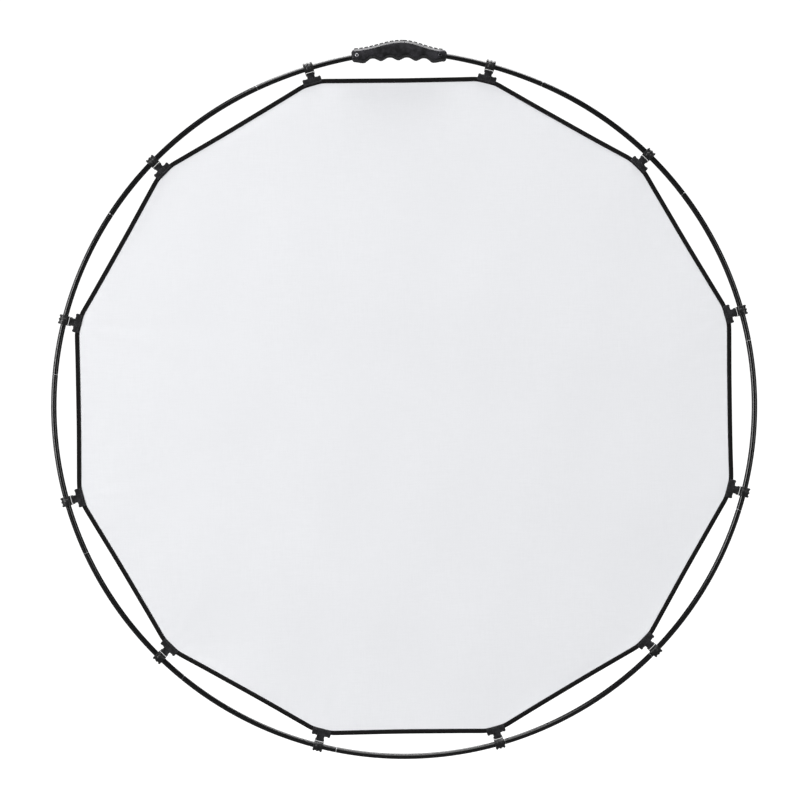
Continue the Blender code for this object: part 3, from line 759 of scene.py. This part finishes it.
def add_cord(name, angle, side, look):
    """The stretch of elastic cord inside a joint."""
    half, radius, steps, sides = 11 * MM, 0.8 * MM, 44, 14
    distances = np.linspace(-half, half, steps + 1)
    rings = bent_rings([(distance, radius) for distance in distances], angle, side, sides)
    around = np.arange(sides + 1) * 2 * math.pi * radius / sides
    obj = add_object(name, skin(name, rings, distances, around))
    dressed(obj, look, None, "binding_tape")
    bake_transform(obj)


# ---- grip ----


def grip_bottom(place):
    lean = GRIP_LEAN * place
    reach = abs(place - FEATURE_SHIFT)
    outer_lobe = 2 * GROOVE_PITCH
    drop = OUTER_LOBE_DROP * (reach / outer_lobe) ** 2
    if reach <= outer_lobe:
        wave = ((1 + math.cos(2 * math.pi * reach / GROOVE_PITCH)) / 2) ** LOBE_SHARPNESS
        return GROOVE_TOP - (GROOVE_TOP - LOBE_BOTTOM) * wave - drop * wave + lean
    share = min((reach - outer_lobe) / (GRIP_HALF_LENGTH - outer_lobe), 1)
    rise_here = (1 - math.cos(math.pi * share)) / 2
    lowest = LOBE_BOTTOM - OUTER_LOBE_DROP
    return lowest + (GRIP_END_BOTTOM - lowest) * rise_here + lean


def grip_top(place):
    crown_reach = CROWN_REACH_LEFT if place < CROWN_SHIFT else CROWN_REACH_RIGHT
    reach = min(abs(place - CROWN_SHIFT) / crown_reach, 1)
    crown = (GRIP_CROWN_TOP - GRIP_END_TOP) * (1 + math.cos(math.pi * reach)) / 2
    return GRIP_END_TOP + crown + GRIP_TOP_LEAN * place


def grip_point(place, radius, depth=0.0):
    """A place along the grip, positive to the right, at this radius from the ring's centre."""
    return polar(-math.degrees(place / GRIP_RADIUS), radius, depth)


def scallops(place):
    """Small bites along the lobes' lower edges."""
    lobe = grip_bottom(place) < LOBE_BOTTOM + 1.3 * MM
    return 0.26 * MM * abs(math.sin(math.pi * place / (2.9 * MM))) * lobe


def grip_outline(count=420):
    """Evenly spaced (place, radius) points: along the lobes to the right, and back over the crown."""
    half, low_corner, high_corner = GRIP_HALF_LENGTH, 3.2 * MM, 4.6 * MM
    places = np.linspace(low_corner - half, half - low_corner, 320)
    points = [(place, grip_bottom(place) + scallops(place)) for place in places]
    points += grip_end(1, half, low_corner, high_corner)
    points += [(place, grip_top(place)) for place in np.linspace(half - high_corner, high_corner - half, 120)]
    points += grip_end(-1, half, low_corner, high_corner)[::-1]
    return evened(points, count)


def grip_end(side, half, low_corner, high_corner):
    """The two rounded corners at one end of the grip, from the lower one up: side is 1 for the right end."""
    turns = [math.radians(turn) for turn in range(0, 91, 10)]
    low_place, high_place = half - low_corner, half - high_corner
    low = grip_bottom(side * low_place) + low_corner
    high = grip_top(side * high_place) - high_corner
    lower = [(low_place + low_corner * math.sin(turn), low - low_corner * math.cos(turn)) for turn in turns]
    corner = high_corner
    upper = [(high_place + corner * math.cos(turn), high + corner * math.sin(turn)) for turn in turns]
    return [(side * place, radius) for place, radius in lower + upper]


def grip_shell_mesh(name, side):
    """One half of the grip, lofted from the parting plane to its face: side is -1 for the front half.
    The upper edge has a flat bevel, which fades into a rounded edge along the lobes and at the right end."""
    outline = grip_outline()
    heading = np.roll(outline, -1, axis=0) - np.roll(outline, 1, axis=0)
    inward = np.column_stack([-heading[:, 1], heading[:, 0]])
    inward = softened(inward / np.linalg.norm(inward, axis=1)[:, None], 2)
    bevel = smoothstep(outline[:, 1], 409 * MM, 412.5 * MM)
    bevel *= 1 - smoothstep(outline[:, 0], 45 * MM, 52 * MM)
    stations = [(0.15 * MM, 0.3 * MM), (0.5 * MM, 0.0), (5 * MM, 0.0)]
    stations = [(np.full(len(outline), depth), np.full(len(outline), offset)) for depth, offset in stations]
    for share in np.linspace(0, 1, 9):
        turn = share * math.pi / 2
        offset = bevel * 2.5 * MM * share + (1 - bevel) * 2.2 * MM * (1 - math.cos(turn))
        short = bevel * 2.3 * MM * (1 - share) + (1 - bevel) * 2.2 * MM * (1 - math.sin(turn))
        stations.append((GRIP_HALF_DEPTH - short, offset))
    rings = []
    for depth, offset in stations:
        moved = outline + inward * offset[:, None]
        rings.append([grip_point(s, r, side * d) for (s, r), d in zip(moved, depth)])
    return skin(name, rings)


def grip_cutters():
    """The hollows for the tubes, their cord and its stops, the screws and the rubber strip."""
    found = []
    high = grip_point(0, 414.2 * MM).z
    low = grip_point(0, 407.9 * MM).z
    found.append(block("cut_cavity", (-26 * MM, -9 * MM, low), (26 * MM, 9 * MM, high)))
    for side in (1, -1):
        half_bore = (GRIP_HALF_LENGTH - TUBE_END_IN_GRIP) / 2
        middle = side * degrees_of(TUBE_END_IN_GRIP + half_bore)
        socket, past = TUBE_RADIUS + 0.25 * MM, half_bore + 4 * MM
        found.append(rod("cut_tube", socket, -half_bore, past, ring_matrix(middle, side)))
        channel = side * degrees_of(TUBE_END_IN_GRIP - 6.5 * MM)
        found.append(rod("cut_cord", 1.2 * MM, -8 * MM, 8 * MM, ring_matrix(channel, side)))
        front = screw_matrix(side)
        found.append(rod("cut_head", HEAD_RADIUS + 0.3 * MM, 9.8 * MM, 20 * MM, front, 40))
        found.append(rod("cut_pilot", 1.3 * MM, -9 * MM, 14 * MM, front))
    low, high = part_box("grip_strip")
    places = np.linspace(low.x - 0.3 * MM, high.x + 0.3 * MM, 40)
    under = [grip_point(s, grip_top(s) - STRIP_SINK) for s in places]
    over = [grip_point(s, grip_top(s) + 4 * MM) for s in places[::-1]]
    outline = [(point.x, point.z) for point in under + over]
    upright = placed((1, 0, 0), (0, 0, 1), (0, -1, 0), (0, 0, 0))
    found.append(add_object("cut_strip", extruded("cut_strip", outline, -8.3 * MM, 8.3 * MM), upright))
    for side in (-1, 1):
        seam = grip_point(SEAM_PLACE, grip_top(SEAM_PLACE) - STRIP_SINK, side * 11.4 * MM)
        low, high = (-SEAM_HALF_WIDTH, -1 * MM, -1.4 * MM), (SEAM_HALF_WIDTH, 1 * MM, 2 * MM)
        found.append(block("cut_seam", low, high, Matrix.Translation(seam)))
    return found


def screw_matrix(side):
    """Local Z out of the front face: side is +1 for the left screw."""
    place = FEATURE_SHIFT - side * SCREW_PLACE
    return placed((1, 0, 0), (0, 0, 1), (0, -1, 0), grip_point(place, SCREW_RADIUS + GRIP_LEAN * place))


def screw_mesh(name):
    """A pan head with a cross recess, and its shank."""
    top, head, shank = 11.8 * MM, HEAD_RADIUS, 1.0 * MM
    turns = np.linspace(0.12, 1.35, 9)
    dome = [(head * math.sin(turn), top - 0.75 * MM * (1 - math.cos(turn))) for turn in turns]
    profile = dome + [(head, top - 0.9 * MM), (head, top - 1.5 * MM), (head - 0.1 * MM, top - 1.6 * MM)]
    profile += [(shank, top - 1.6 * MM), (shank, -6.5 * MM), (0.3 * MM, -8 * MM)]
    screw = add_object(name, turned(name, profile, 48, looped=False))
    wing, arm, deep = 0.5 * MM, 1.35 * MM, top - 1.3 * MM
    cross = []
    for width, length in ((wing, arm), (arm, wing)):
        cross.append(block("cut_wing", (-width, -length, deep), (width, length, top + 1 * MM)))
    cross[0].rotation_euler.z = cross[1].rotation_euler.z = math.radians(35)
    return carve(screw, cross)


def build_grip(plastic, rubber, steels, bead):
    for name, side in (("front", -1), ("rear", 1)):
        node = f"grip_{name}_shell"
        shell = add_object(f"grip_half_{name}", grip_shell_mesh(node, side))
        dressed(carve(shell, grip_cutters()), plastic, "root", "grip_plastic", node, smooth=28)
    strip = add_object("grip_rib_strip", frame["nodes"]["grip_strip"].data.copy())
    dressed(eased(strip, 0.28 * MM), rubber, "root", "grip_rubber", "grip_strip")
    for name, side in (("left", 1), ("right", -1)):
        screw = screw_mesh(f"grip_screw_{name}")
        screw.matrix_world = screw_matrix(side)
        dressed(screw, steels[name], "root", "screw_steel", f"screw_{name}", smooth=30)
        stop = frame["nodes"][f"cord_stop_{name}"]
        stop.data.materials.clear()
        stop.data.materials.append(bead)


# ---- clips ----


def head_curve(grow, first, last, count):
    """The clip's outer curve round the tube, squarer than a circle, between two angles in degrees."""
    points = []
    for turn in np.radians(np.linspace(first, last, count)):
        across, up = math.cos(turn), math.sin(turn)
        x = (5.8 * MM + grow) * math.copysign(abs(across) ** 0.8, across)
        y = (6.0 * MM + grow) * math.copysign(abs(up) ** 0.8, up)
        points.append((TUBE_IN_CLIP + x, y))
    return points


def clip_mesh():
    """A hook over the tube with a grooved head, a narrower neck, a thumb boss and a bar in two cheeks."""
    seat = TUBE_RADIUS + 0.3 * MM
    turns = [math.radians(turn) for turn in range(0, 181, 10)]
    outline = [(11.4 * MM, -1.3 * MM)]
    outline += [(TUBE_IN_CLIP + seat * math.cos(turn), seat * math.sin(turn)) for turn in turns]
    outline += [(3.4 * MM, -1.4 * MM), (1.6 * MM, -1.6 * MM)]
    outline += [
        (1.6 * MM * math.cos(turn), 1.6 * MM * math.sin(turn)) for turn in np.radians(range(-90, -271, -20))
    ]
    outline += [(1.2 * MM, 2.3 * MM), (2.4 * MM, 3.4 * MM), (3.4 * MM, 4.5 * MM)]
    outline += head_curve(0, 118, -10, 22)
    clip = add_object("clip_body", extruded("clip_body", outline, -HOOK_HALF_WIDTH, HOOK_HALF_WIDTH))
    for vertex in clip.data.vertices:
        neck = 1 - float(smoothstep(vertex.co.x, 2.6 * MM, 5.0 * MM))
        vertex.co.z *= 1 - 0.07 * neck
    half_slot = STRAP_HALF_WIDTH + BAR_END
    slot = block("cut_slot", (-3 * MM, -4 * MM, -half_slot), (2.6 * MM, 9 * MM, half_slot))
    shells = [eased(carve(clip, [slot]), 0.28 * MM, angle=30, segments=3)]
    ridge = head_curve(0.8 * MM, 64, -8, 14) + head_curve(-1.5 * MM, -8, 64, 14)
    for middle in (-4.3 * MM, 0, 4.3 * MM):
        mesh = extruded("clip_ridge", ridge, middle - 1.0 * MM, middle + 1.0 * MM)
        shells.append(eased(add_object("clip_ridge", mesh), 0.5 * MM, angle=40, segments=4))
    turns = np.linspace(0.1, 1.57, 9)
    dome = [(3.1 * MM * math.sin(turn), 5.6 * MM + 0.9 * MM * math.cos(turn)) for turn in turns]
    dome = turned("clip_boss", dome + [(3.1 * MM, 4 * MM)], 36, looped=False)
    lean = placed((1, 0, 0), (0, 0, -1), (0, 1, 0), (6.9 * MM, 0, 0))
    dome.transform(lean)
    face_out(dome)
    shells.append(add_object("clip_boss", dome))
    shells.append(rod("clip_bar", 1.0 * MM, -half_slot - 0.4 * MM, half_slot + 0.4 * MM, Matrix(), 20))
    mesh = joined("tube_hook", [shell.data for shell in shells])
    for shell in shells:
        bpy.data.objects.remove(shell, do_unlink=True)
    return mesh


def build_clips(look):
    shared = clip_mesh()
    for number, angle in enumerate(clip_angles(), 1):
        clip = add_object(f"tube_hook_{number:02d}", shared, hook_matrix(angle))
        dressed(clip, look, f"hook_{number:02d}", "clip_plastic", f"clip_{number:02d}", smooth=35)


# ---- straps and tabs ----


def tab_ring(z):
    """The tab's section at this place along the bar: two plies joined at the outer edge, open for the hem."""
    reach = abs(z)
    half = TAB_LENGTH / 2
    tip = max(0.0, (reach - (half - 1.6 * MM)) / (1.6 * MM))
    round_off = 1.5 * MM * (1 - math.sqrt(max(0.0, 1 - tip * tip)))
    low = -12.5 * MM + 0.3 * MM * (reach / half) ** 2
    high = -4.2 * MM - 0.35 * MM * float(hump(reach, 7.2 * MM, 1.3 * MM))
    high += 0.25 * MM * float(hump(reach, 9.6 * MM, 1.0 * MM)) - round_off
    xs = low + (high - low) * np.sin(np.linspace(0.03, math.pi / 2, 30))
    thick = 1.85 * MM - 0.3 * MM * tip + 0.55 * MM * hump(xs, low + 1.0 * MM, 0.5 * MM)
    dent = 0.2 + 0.12 * math.cos(2 * math.pi * z / TAB_PITCH)
    for row in TAB_ROWS:
        thick = thick - dent * MM * hump(xs, row, 0.45 * MM)
    lip = np.clip((xs - low) / (0.5 * MM), 0, 1)
    edge = np.clip((high - xs) / (1.3 * MM), 0, 1)
    inner = 1.25 * MM
    thick = inner + (thick - inner) * np.sqrt(1 - (1 - lip) ** 2)
    thick = thick * np.sqrt(1 - (1 - edge) ** 2)
    front = np.column_stack([xs, thick])
    back = np.column_stack([xs, -thick])[::-1][1:]
    slot_end = HEM_AT_TAB + HEM_HALF_WIDTH + 0.3 * MM - BAR_RADIUS
    slot = [(low, -1.2 * MM), (slot_end, -1.2 * MM), (slot_end, 1.2 * MM), (low, 1.2 * MM)]
    flat = np.concatenate([front, back, slot])
    return np.column_stack([flat, np.full(len(flat), z)])


def strap_path():
    """The strap's line seen along the bar: up from the tab, round the bar and back to the tab."""
    turns = np.radians(np.linspace(108, -108, 40))
    radius = 1.66 * MM
    loop = [(radius * math.cos(turn), radius * math.sin(turn)) for turn in turns]
    return evened([(-6.0 * MM, 0.62 * MM)] + loop + [(-6.0 * MM, -0.62 * MM)], 90, closed=False)


def strap_rings():
    """A ribbed strap with thicker edges, swept round the bar."""
    path = strap_path()
    run = lengths_along(path)
    heading = np.gradient(path, axis=0)
    heading /= np.linalg.norm(heading, axis=1)[:, None]
    turns = np.linspace(0, 2 * math.pi, 32, endpoint=False)
    wide = STRAP_HALF_WIDTH * np.sign(np.cos(turns)) * np.abs(np.cos(turns)) ** 0.35
    rings = []
    for (x, y), (dx, dy), distance in zip(path, heading, run):
        rib = 0.33 * MM + 0.09 * MM * math.cos(2 * math.pi * distance / (1.32 * MM))
        high = rib * np.sign(np.sin(turns)) * np.abs(np.sin(turns)) ** 0.6
        high = high * (1 + 0.25 * hump(np.abs(wide), STRAP_HALF_WIDTH * 0.9, 0.3 * MM))
        rings.append(np.column_stack([x - dy * high, y + dx * high, wide]))
    return rings, run


def joined(name, meshes):
    """Several meshes as one, each a closed body of its own."""
    work = bmesh.new()
    for mesh in meshes:
        work.from_mesh(mesh)
    mesh = bpy.data.meshes.new(name)
    work.to_mesh(mesh)
    work.free()
    return mesh


def section_run(ring):
    return lengths_along(ring, closed=True)


def strap_mesh():
    half = TAB_LENGTH / 2
    places = half * np.sin(np.linspace(-math.pi / 2, math.pi / 2, 71))
    tab_rings = [tab_ring(z) for z in places]
    tab = skin("tab", tab_rings, places, section_run(tab_rings[len(tab_rings) // 2]))
    rings, run = strap_rings()
    strap = skin("strap", rings, run, section_run(rings[0]))
    return joined("corner_strap", [tab, strap])


def stitch_base(length, radius, bow):
    """One stitch along local X, sunk at both ends, with local Y up from the cloth."""
    shares = np.linspace(-1, 1, 7)
    rings = []
    for share in shares:
        fat = radius * math.sqrt(max(0.08, 1 - abs(share) ** 3))
        middle = (share * length / 2, bow * (1 - share * share) - bow * 0.6)
        ring = circle(fat, 6)
        rings.append([(middle[0], middle[1] + y, z) for y, z in ring])
    return skin("stitch", rings, shares * length / 2, np.arange(7) * 2 * math.pi * radius / 6)


def tab_stitches():
    """Rows of stitches along the bar on both faces, and a short row at each side of the strap."""
    base = stitch_base(1.9 * MM, 0.2 * MM, 0.12 * MM)
    matrices = []
    for face in (1, -1):
        for row in TAB_ROWS:
            for step in range(-3, 5):
                z = (step - 0.5) * TAB_PITCH
                matrices.append(placed((0, 0, 1), (0, face, 0), (face, 0, 0), (row, face * 1.78 * MM, z)))
        for z in (-3.7 * MM, 3.7 * MM):
            for x in (-8.6 * MM, -6.9 * MM):
                matrices.append(placed((1, 0, 0), (0, face, 0), (0, 0, face), (x, face * 1.95 * MM, z)))
    return scattered("tab_stitches", base, matrices)


def build_straps(look, stitch_look):
    shared = strap_mesh()
    shared_stitches = tab_stitches()
    for number, angle in enumerate(clip_angles(), 1):
        strap = add_object(f"corner_strap_{number:02d}", shared, hook_matrix(angle))
        dressed(strap, look, "panel", "webbing", f"strap_{number:02d}")
        stitches = add_object(f"corner_thread_{number:02d}", shared_stitches, hook_matrix(angle))
        dressed(stitches, stitch_look, "panel", "webbing")


# ---- hem ----


def hem_line(count=1210):
    """The hem's middle line as (x, z) from the ring's centre: flat across each tab, bowed in between."""
    corners = []
    half_tab = TAB_LENGTH / 2
    for angle in clip_angles():
        here, after = outward(angle) * HEM_AT_TAB, angle + 360 / CLIP_COUNT
        start = here + along(angle) * half_tab
        end = outward(after) * HEM_AT_TAB - along(after) * half_tab
        corners.append(here - along(angle) * half_tab)
        for share in np.linspace(0, 1, 9)[:-1]:
            bow = HEM_BOW * 4 * share * (1 - share)
            corners.append(start.lerp(end, share) - outward((angle + after) / 2) * bow)
    points = evened([(corner.x, corner.z) for corner in corners], count)
    return softened(points, 1.6)


def hem_frames(line):
    """The outward direction at each point of the line."""
    heading = np.roll(line, -1, axis=0) - np.roll(line, 1, axis=0)
    out = np.column_stack([heading[:, 1], -heading[:, 0]])
    out /= np.linalg.norm(out, axis=1)[:, None]
    return out * np.sign((out * line).sum(1))[:, None]


def hem_section():
    """(outwards, towards -Y) round a folded tape with a slot on its inner side."""
    wide = HEM_HALF_WIDTH
    face = [(-wide, 0.55), (-wide + 0.25 * MM, 0.86), (-1.9 * MM, 0.93), (-1.55 * MM, 0.84)]
    face += [(-1.2 * MM, 0.95), (-0.3 * MM, 1.02), (0.8 * MM, 1.02), (1.5 * MM, 0.95)]
    face += [(2.05 * MM, 0.82), (2.42 * MM, 0.55)]
    outside = [(out, depth * MM) for out, depth in face] + [(wide, 0.0)]
    back = [(out, -depth) for out, depth in outside[::-1][1:]]
    slot = [(-wide, -0.45 * MM), (-wide + 0.2 * MM, -0.42 * MM), (1.8 * MM, -0.42 * MM)]
    slot += [(out, -depth) for out, depth in slot[::-1]]
    return np.array(outside + back + slot)


def hem_mesh(line):
    out = hem_frames(line)
    run = lengths_along(line, closed=True)
    section = hem_section()
    rings = []
    for (x, z), (out_x, out_z), distance in zip(line, out, run):
        pucker = 1 + 0.035 * math.cos(2 * math.pi * distance / STITCH_PITCH)
        sway = 0.12 * MM * math.sin(distance / (31 * MM)) + 0.08 * MM * math.sin(distance / (13 * MM) + 1)
        across = section[:, 0] + sway * 0.5
        depth = -section[:, 1] * pucker
        points = np.column_stack([x + out_x * across, depth, z + out_z * across])
        rings.append(points + np.array(CENTRE))
    return skin("hem", rings, run, section_run(np.array(rings[0])), looped=True)


def hem_stitches(line):
    """A row of stitches near the inner edge on both faces, all the way round."""
    out = hem_frames(line)
    run = lengths_along(line, closed=True)
    base = stitch_base(2.1 * MM, 0.17 * MM, 0.1 * MM)
    closed_line = np.concatenate([line, line[:1]])
    closed_out = np.concatenate([out, out[:1]])
    matrices = []
    for distance in np.arange(0, run[-1] - STITCH_PITCH / 2, STITCH_PITCH):
        x, z = (np.interp(distance, run, closed_line[:, axis]) for axis in (0, 1))
        out_x, out_z = (np.interp(distance, run, closed_out[:, axis]) for axis in (0, 1))
        away = Vector((out_x, 0, out_z)).normalized()
        for face in (-1, 1):
            up = Vector((0, face, 0))
            place = CENTRE + Vector((x, 0, z)) + away * HEM_ROW + up * 0.9 * MM
            matrices.append(placed(up.cross(away), up, away, place))
    return scattered("hem_stitches", base, matrices)


# ---- panel of fabric ----


# Groups of short creases, in mm: middle (x, z), heading in degrees, length, group's width, pitch and height
CREASES = (
    (54, 326, -12, 95, 42, 14, 0.07),
    (20, 345, -4, 60, 18, 10, 0.05),
    (272, 216, 98, 84, 34, 12, 0.13),
    (296, 170, 72, 60, 20, 10, 0.08),
    (346, 5, 94, 120, 20, 10, 0.05),
    (-330, 80, 2, 55, 40, 9, 0.035),
    (-361, -22, 82, 50, 10, 9, 0.09),
    (-75, -335, 50, 46, 15, 11, 0.11),
    (305, -178, 36, 44, 20, 9, 0.08),
    (180, -305, 14, 90, 22, 10, 0.07),
)


def folds(x, z):
    """The height of the stretched fabric's folds at (x, z) from the ring's centre, towards +Y."""
    radius = np.hypot(x, z)
    height = np.zeros_like(radius)
    for angle in clip_angles():
        pull, slant, phase = RANDOM.uniform(0.55, 1.15), RANDOM.uniform(-12, 12), RANDOM.uniform(0, 6.28)
        folds_here = RANDOM.uniform(7.5, 11.5)
        out, side = outward(angle), along(angle)
        deep = (HEM_AT_TAB - 2 * MM) - (x * out.x + z * out.z)
        across = x * side.x + z * side.z
        reach = np.hypot(deep, across)
        swing = np.arctan2(across, deep) - math.radians(slant)
        fan = hump(swing, 0, 0.8) * np.cos(folds_here * swing + phase)
        height += pull * 0.11 * MM * (reach / (22 * MM)) * np.exp(1 - reach / (22 * MM)) * fan
        long_fan = hump(swing, 0, 0.35) * np.cos(folds_here * 1.6 * swing - phase)
        height += pull * 0.06 * MM * (reach / (80 * MM)) * np.exp(1 - reach / (80 * MM)) * long_fan
    for _ in range(10):
        heading, pitch = RANDOM.uniform(0, math.pi), RANDOM.uniform(110, 320) * MM
        size, phase = RANDOM.uniform(0.05, 0.14) * MM, RANDOM.uniform(0, 6.28)
        height += size * np.sin(2 * math.pi * (x * math.cos(heading) + z * math.sin(heading)) / pitch + phase)
    for middle_x, middle_z, heading, *sizes in CREASES:
        length, width, pitch, tall = (size * MM for size in sizes)
        middle = (middle_x * MM, middle_z * MM)
        height += crease_group(x, z, middle, heading, length, width, pitch, tall)
    return height


def crease_group(x, z, middle, heading, length, width, pitch, height):
    """A few soft ridges side by side, which fade out all round and bend a little."""
    middle_x, middle_z = middle
    turn = math.radians(heading)
    run = (x - middle_x) * math.cos(turn) + (z - middle_z) * math.sin(turn)
    across = (z - middle_z) * math.cos(turn) - (x - middle_x) * math.sin(turn)
    across = across + 0.12 * length * (run / length) ** 2 + 0.03 * run
    fade = hump(run, 0, length / 2) * hump(across, 0, width / 2)
    return height * fade * np.cos(2 * math.pi * across / pitch + 40 * middle_x / pitch)


def edge_puckers(turn, inset):
    """Small gathers that the hem's seam leaves along the edge."""
    wave = np.sin(173 * turn) + 0.7 * np.sin(257 * turn + 1.3) + 0.5 * np.sin(91 * turn + 0.4)
    return 0.07 * MM * wave * (inset / (5 * MM)) * np.exp(1 - inset / (5 * MM))


def sheet_grid(line):
    """Rings of points over the panel out to an edge tucked in the hem: x, z, the distance in from the edge
    and the turn about the middle."""
    turns = np.arctan2(line[:, 1], line[:, 0])
    order = np.argsort(turns)
    turn = np.linspace(-math.pi, math.pi, 720, endpoint=False)
    edge = np.interp(turn, turns[order], np.hypot(*line[order].T), period=2 * math.pi) + 0.4 * MM
    inner, outer = np.linspace(0.01, 0.7, 34), np.linspace(0.7, 0.985, 42)[1:]
    share = np.concatenate([inner, outer, [0.99, 0.994, 0.997, 1]])
    radius = share[:, None] * edge[None, :]
    turn = turn[None, :]
    return radius * np.cos(turn), radius * np.sin(turn), edge[None, :] - radius, turn


def sheet_mesh(name, x, z, height):
    """A thin closed sheet at these heights."""
    near = np.stack([x, height - SHEET_THICKNESS / 2, z], 2) + np.array(CENTRE)
    far = np.stack([x, height + SHEET_THICKNESS / 2, z], 2) + np.array(CENTRE)
    return skin(name, np.concatenate([near, far[::-1]]))


def crinkles(x, z):
    """The coated back layer's own sharp crinkles, always away from the white layer."""
    height = np.zeros_like(x)
    for _ in range(14):
        heading, pitch = RANDOM.uniform(0, math.pi), RANDOM.uniform(26, 70) * MM
        phase = RANDOM.uniform(0, 6.28)
        ripple = np.sin(2 * math.pi * (x * math.cos(heading) + z * math.sin(heading)) / pitch + phase)
        height += 0.05 * MM * (1 - np.abs(ripple))
    return height


def build_panel(white, silver, tape, stitch_look):
    line = hem_line()
    hem = dressed(add_object("panel_hem", hem_mesh(line)), tape, "panel", "binding_tape", "hem")
    stitches = add_object("panel_hem_thread", hem_stitches(line))
    dressed(stitches, stitch_look, "panel", "binding_tape")
    x, z, inset, turn = sheet_grid(line)
    free = smoothstep(inset, 2.5 * MM, 16 * MM)
    white_height = -SHEET_DEPTH + folds(x, z) * free + edge_puckers(turn, np.maximum(inset - 3 * MM, 0))
    silver_height = white_height + 2 * SHEET_DEPTH + crinkles(x, z) * free
    layers = (
        ("panel_white", "sheet_white", white_height, white, "fabric_white"),
        ("panel_silver", "sheet_silver", silver_height, silver, "fabric_silver"),
    )
    for name, node, height, look, slot in layers:
        layer = add_object(name, sheet_mesh(name, x, z, height))
        dressed(layer, look, "panel", slot, node, smooth=60)


# ---- camera, light and floor ----


def add_camera():
    """Level with the disc's middle, looking straight at its white side through a long lens."""
    lens, sensor, view_width, roll = 100, 36, 929.4 * MM, 0.8
    aim = CENTRE + Vector((-4.7 * MM, 0, 7.0 * MM))
    data = bpy.data.cameras.new("camera")
    data.lens = lens
    data.sensor_width = sensor
    data.clip_end = 60
    camera = bpy.data.objects.new("camera", data)
    bpy.context.scene.collection.objects.link(camera)
    camera.location = aim - Vector((0, view_width * lens / sensor, 0))
    camera.rotation_euler = (math.radians(90), math.radians(roll), 0)
    bpy.context.scene.camera = camera


def add_lamp(data, azimuth, elevation, distance=0.0):
    """A lamp aimed at the disc. Azimuth is from the viewer's side, positive to the left."""
    turn, lift = math.radians(azimuth), math.radians(elevation)
    away = Vector((-math.sin(turn) * math.cos(lift), -math.cos(turn) * math.cos(lift), math.sin(lift)))
    light = bpy.data.objects.new(data.name, data)
    bpy.context.scene.collection.objects.link(light)
    light.location = CENTRE + away * distance
    light.rotation_euler = away.to_track_quat("Z", "Y").to_euler()


def add_softbox(name, azimuth, elevation, distance, size, glow):
    """A soft area light. glow is how bright its face is."""
    data = bpy.data.lights.new(name, "AREA")
    data.shape = "RECTANGLE"
    data.size, data.size_y = size
    data.energy = glow * math.pi * size[0] * size[1]
    add_lamp(data, azimuth, elevation, distance)


def add_sun(name, azimuth, elevation, strength, spread):
    data = bpy.data.lights.new(name, "SUN")
    data.energy = strength
    data.angle = math.radians(spread)
    add_lamp(data, azimuth, elevation)


def light_scene():
    add_softbox("key_left", 49, 4, 4.5, (1.2, 2.8), 13.5)
    add_softbox("key_right", -47, 4, 4.5, (0.9, 2.8), 5.5)
    add_softbox("side_left", 100, 10, 3.0, (0.5, 2.2), 5.0)
    add_softbox("top", 10, 94, 2.6, (2.4, 1.4), 13.0)
    add_sun("front_fill", 8, 48, 1.17, 36)
    add_sun("back_fill", 190, 40, 1.6, 40)


def seen_white(tree, dim, bright):
    """A colour that is bright where the camera sees it and dim where it lights the object."""
    path = tree.nodes.new("ShaderNodeLightPath")
    mix = tree.nodes.new("ShaderNodeMix")
    mix.data_type = "FLOAT"
    tree.links.new(path.outputs["Is Camera Ray"], mix.inputs[0])
    mix.inputs[2].default_value = dim
    mix.inputs[3].default_value = bright
    return mix.outputs[0]


def add_world():
    scene = bpy.context.scene
    scene.view_settings.view_transform = "Standard"
    world = bpy.data.worlds.new("world")
    scene.world = world
    world.use_nodes = True
    tree = world.node_tree
    background = tree.nodes["Background"]
    background.inputs["Color"].default_value = (1, 1, 1, 1)
    tree.links.new(seen_white(tree, 0.13, 1.1), background.inputs["Strength"])


def add_floor():
    """A pale floor 0.3 m below the disc's ring, with the disc in the air above it."""
    height = CENTRE.z - RING_RADIUS - 0.3
    half = 30
    outline = [(-half, -half), (half, -half), (half, half), (-half, half)]
    floor = add_object("floor", extruded("floor", outline, height - 0.02, height))
    surface = Surface("floor_paper", Emission_Color=(1, 1, 1, 1), Specular_IOR_Level=0.2)
    fibres = surface.noise(3 * MM, detail=4)
    shade = surface.mix(surface.spread(fibres, 0.3, 0.7), tone(94, 94, 94), tone(106, 106, 106))
    glow = seen_white(surface.tree, 0.0, 1.0)
    normal = surface.bump(fibres, 0.2 * MM, 0.3)
    surface.finish(Base_Color=shade, Roughness=0.85, Normal=normal, Emission_Strength=glow)
    floor.data.materials.append(surface.material)


def main():
    add_camera()
    add_world()
    light_scene()
    add_floor()
    build_ring(black_tube(), bare_aluminium(), elastic_braid())
    # The right screw's darker tones are painted shade: both screws are the same plated steel.
    screws = {
        "left": screw_steel("screw_steel_left", 214, 150),
        "right": screw_steel("screw_steel_right", 96, 44),
    }
    build_grip(grip_plastic(), grip_rubber(), screws, stop_plastic())
    build_panel(white_fabric(), silver_fabric(), binding_tape(), thread("hem_thread", 46))
    build_straps(webbing(), thread("tab_thread", 66))
    build_clips(clip_plastic())


main()
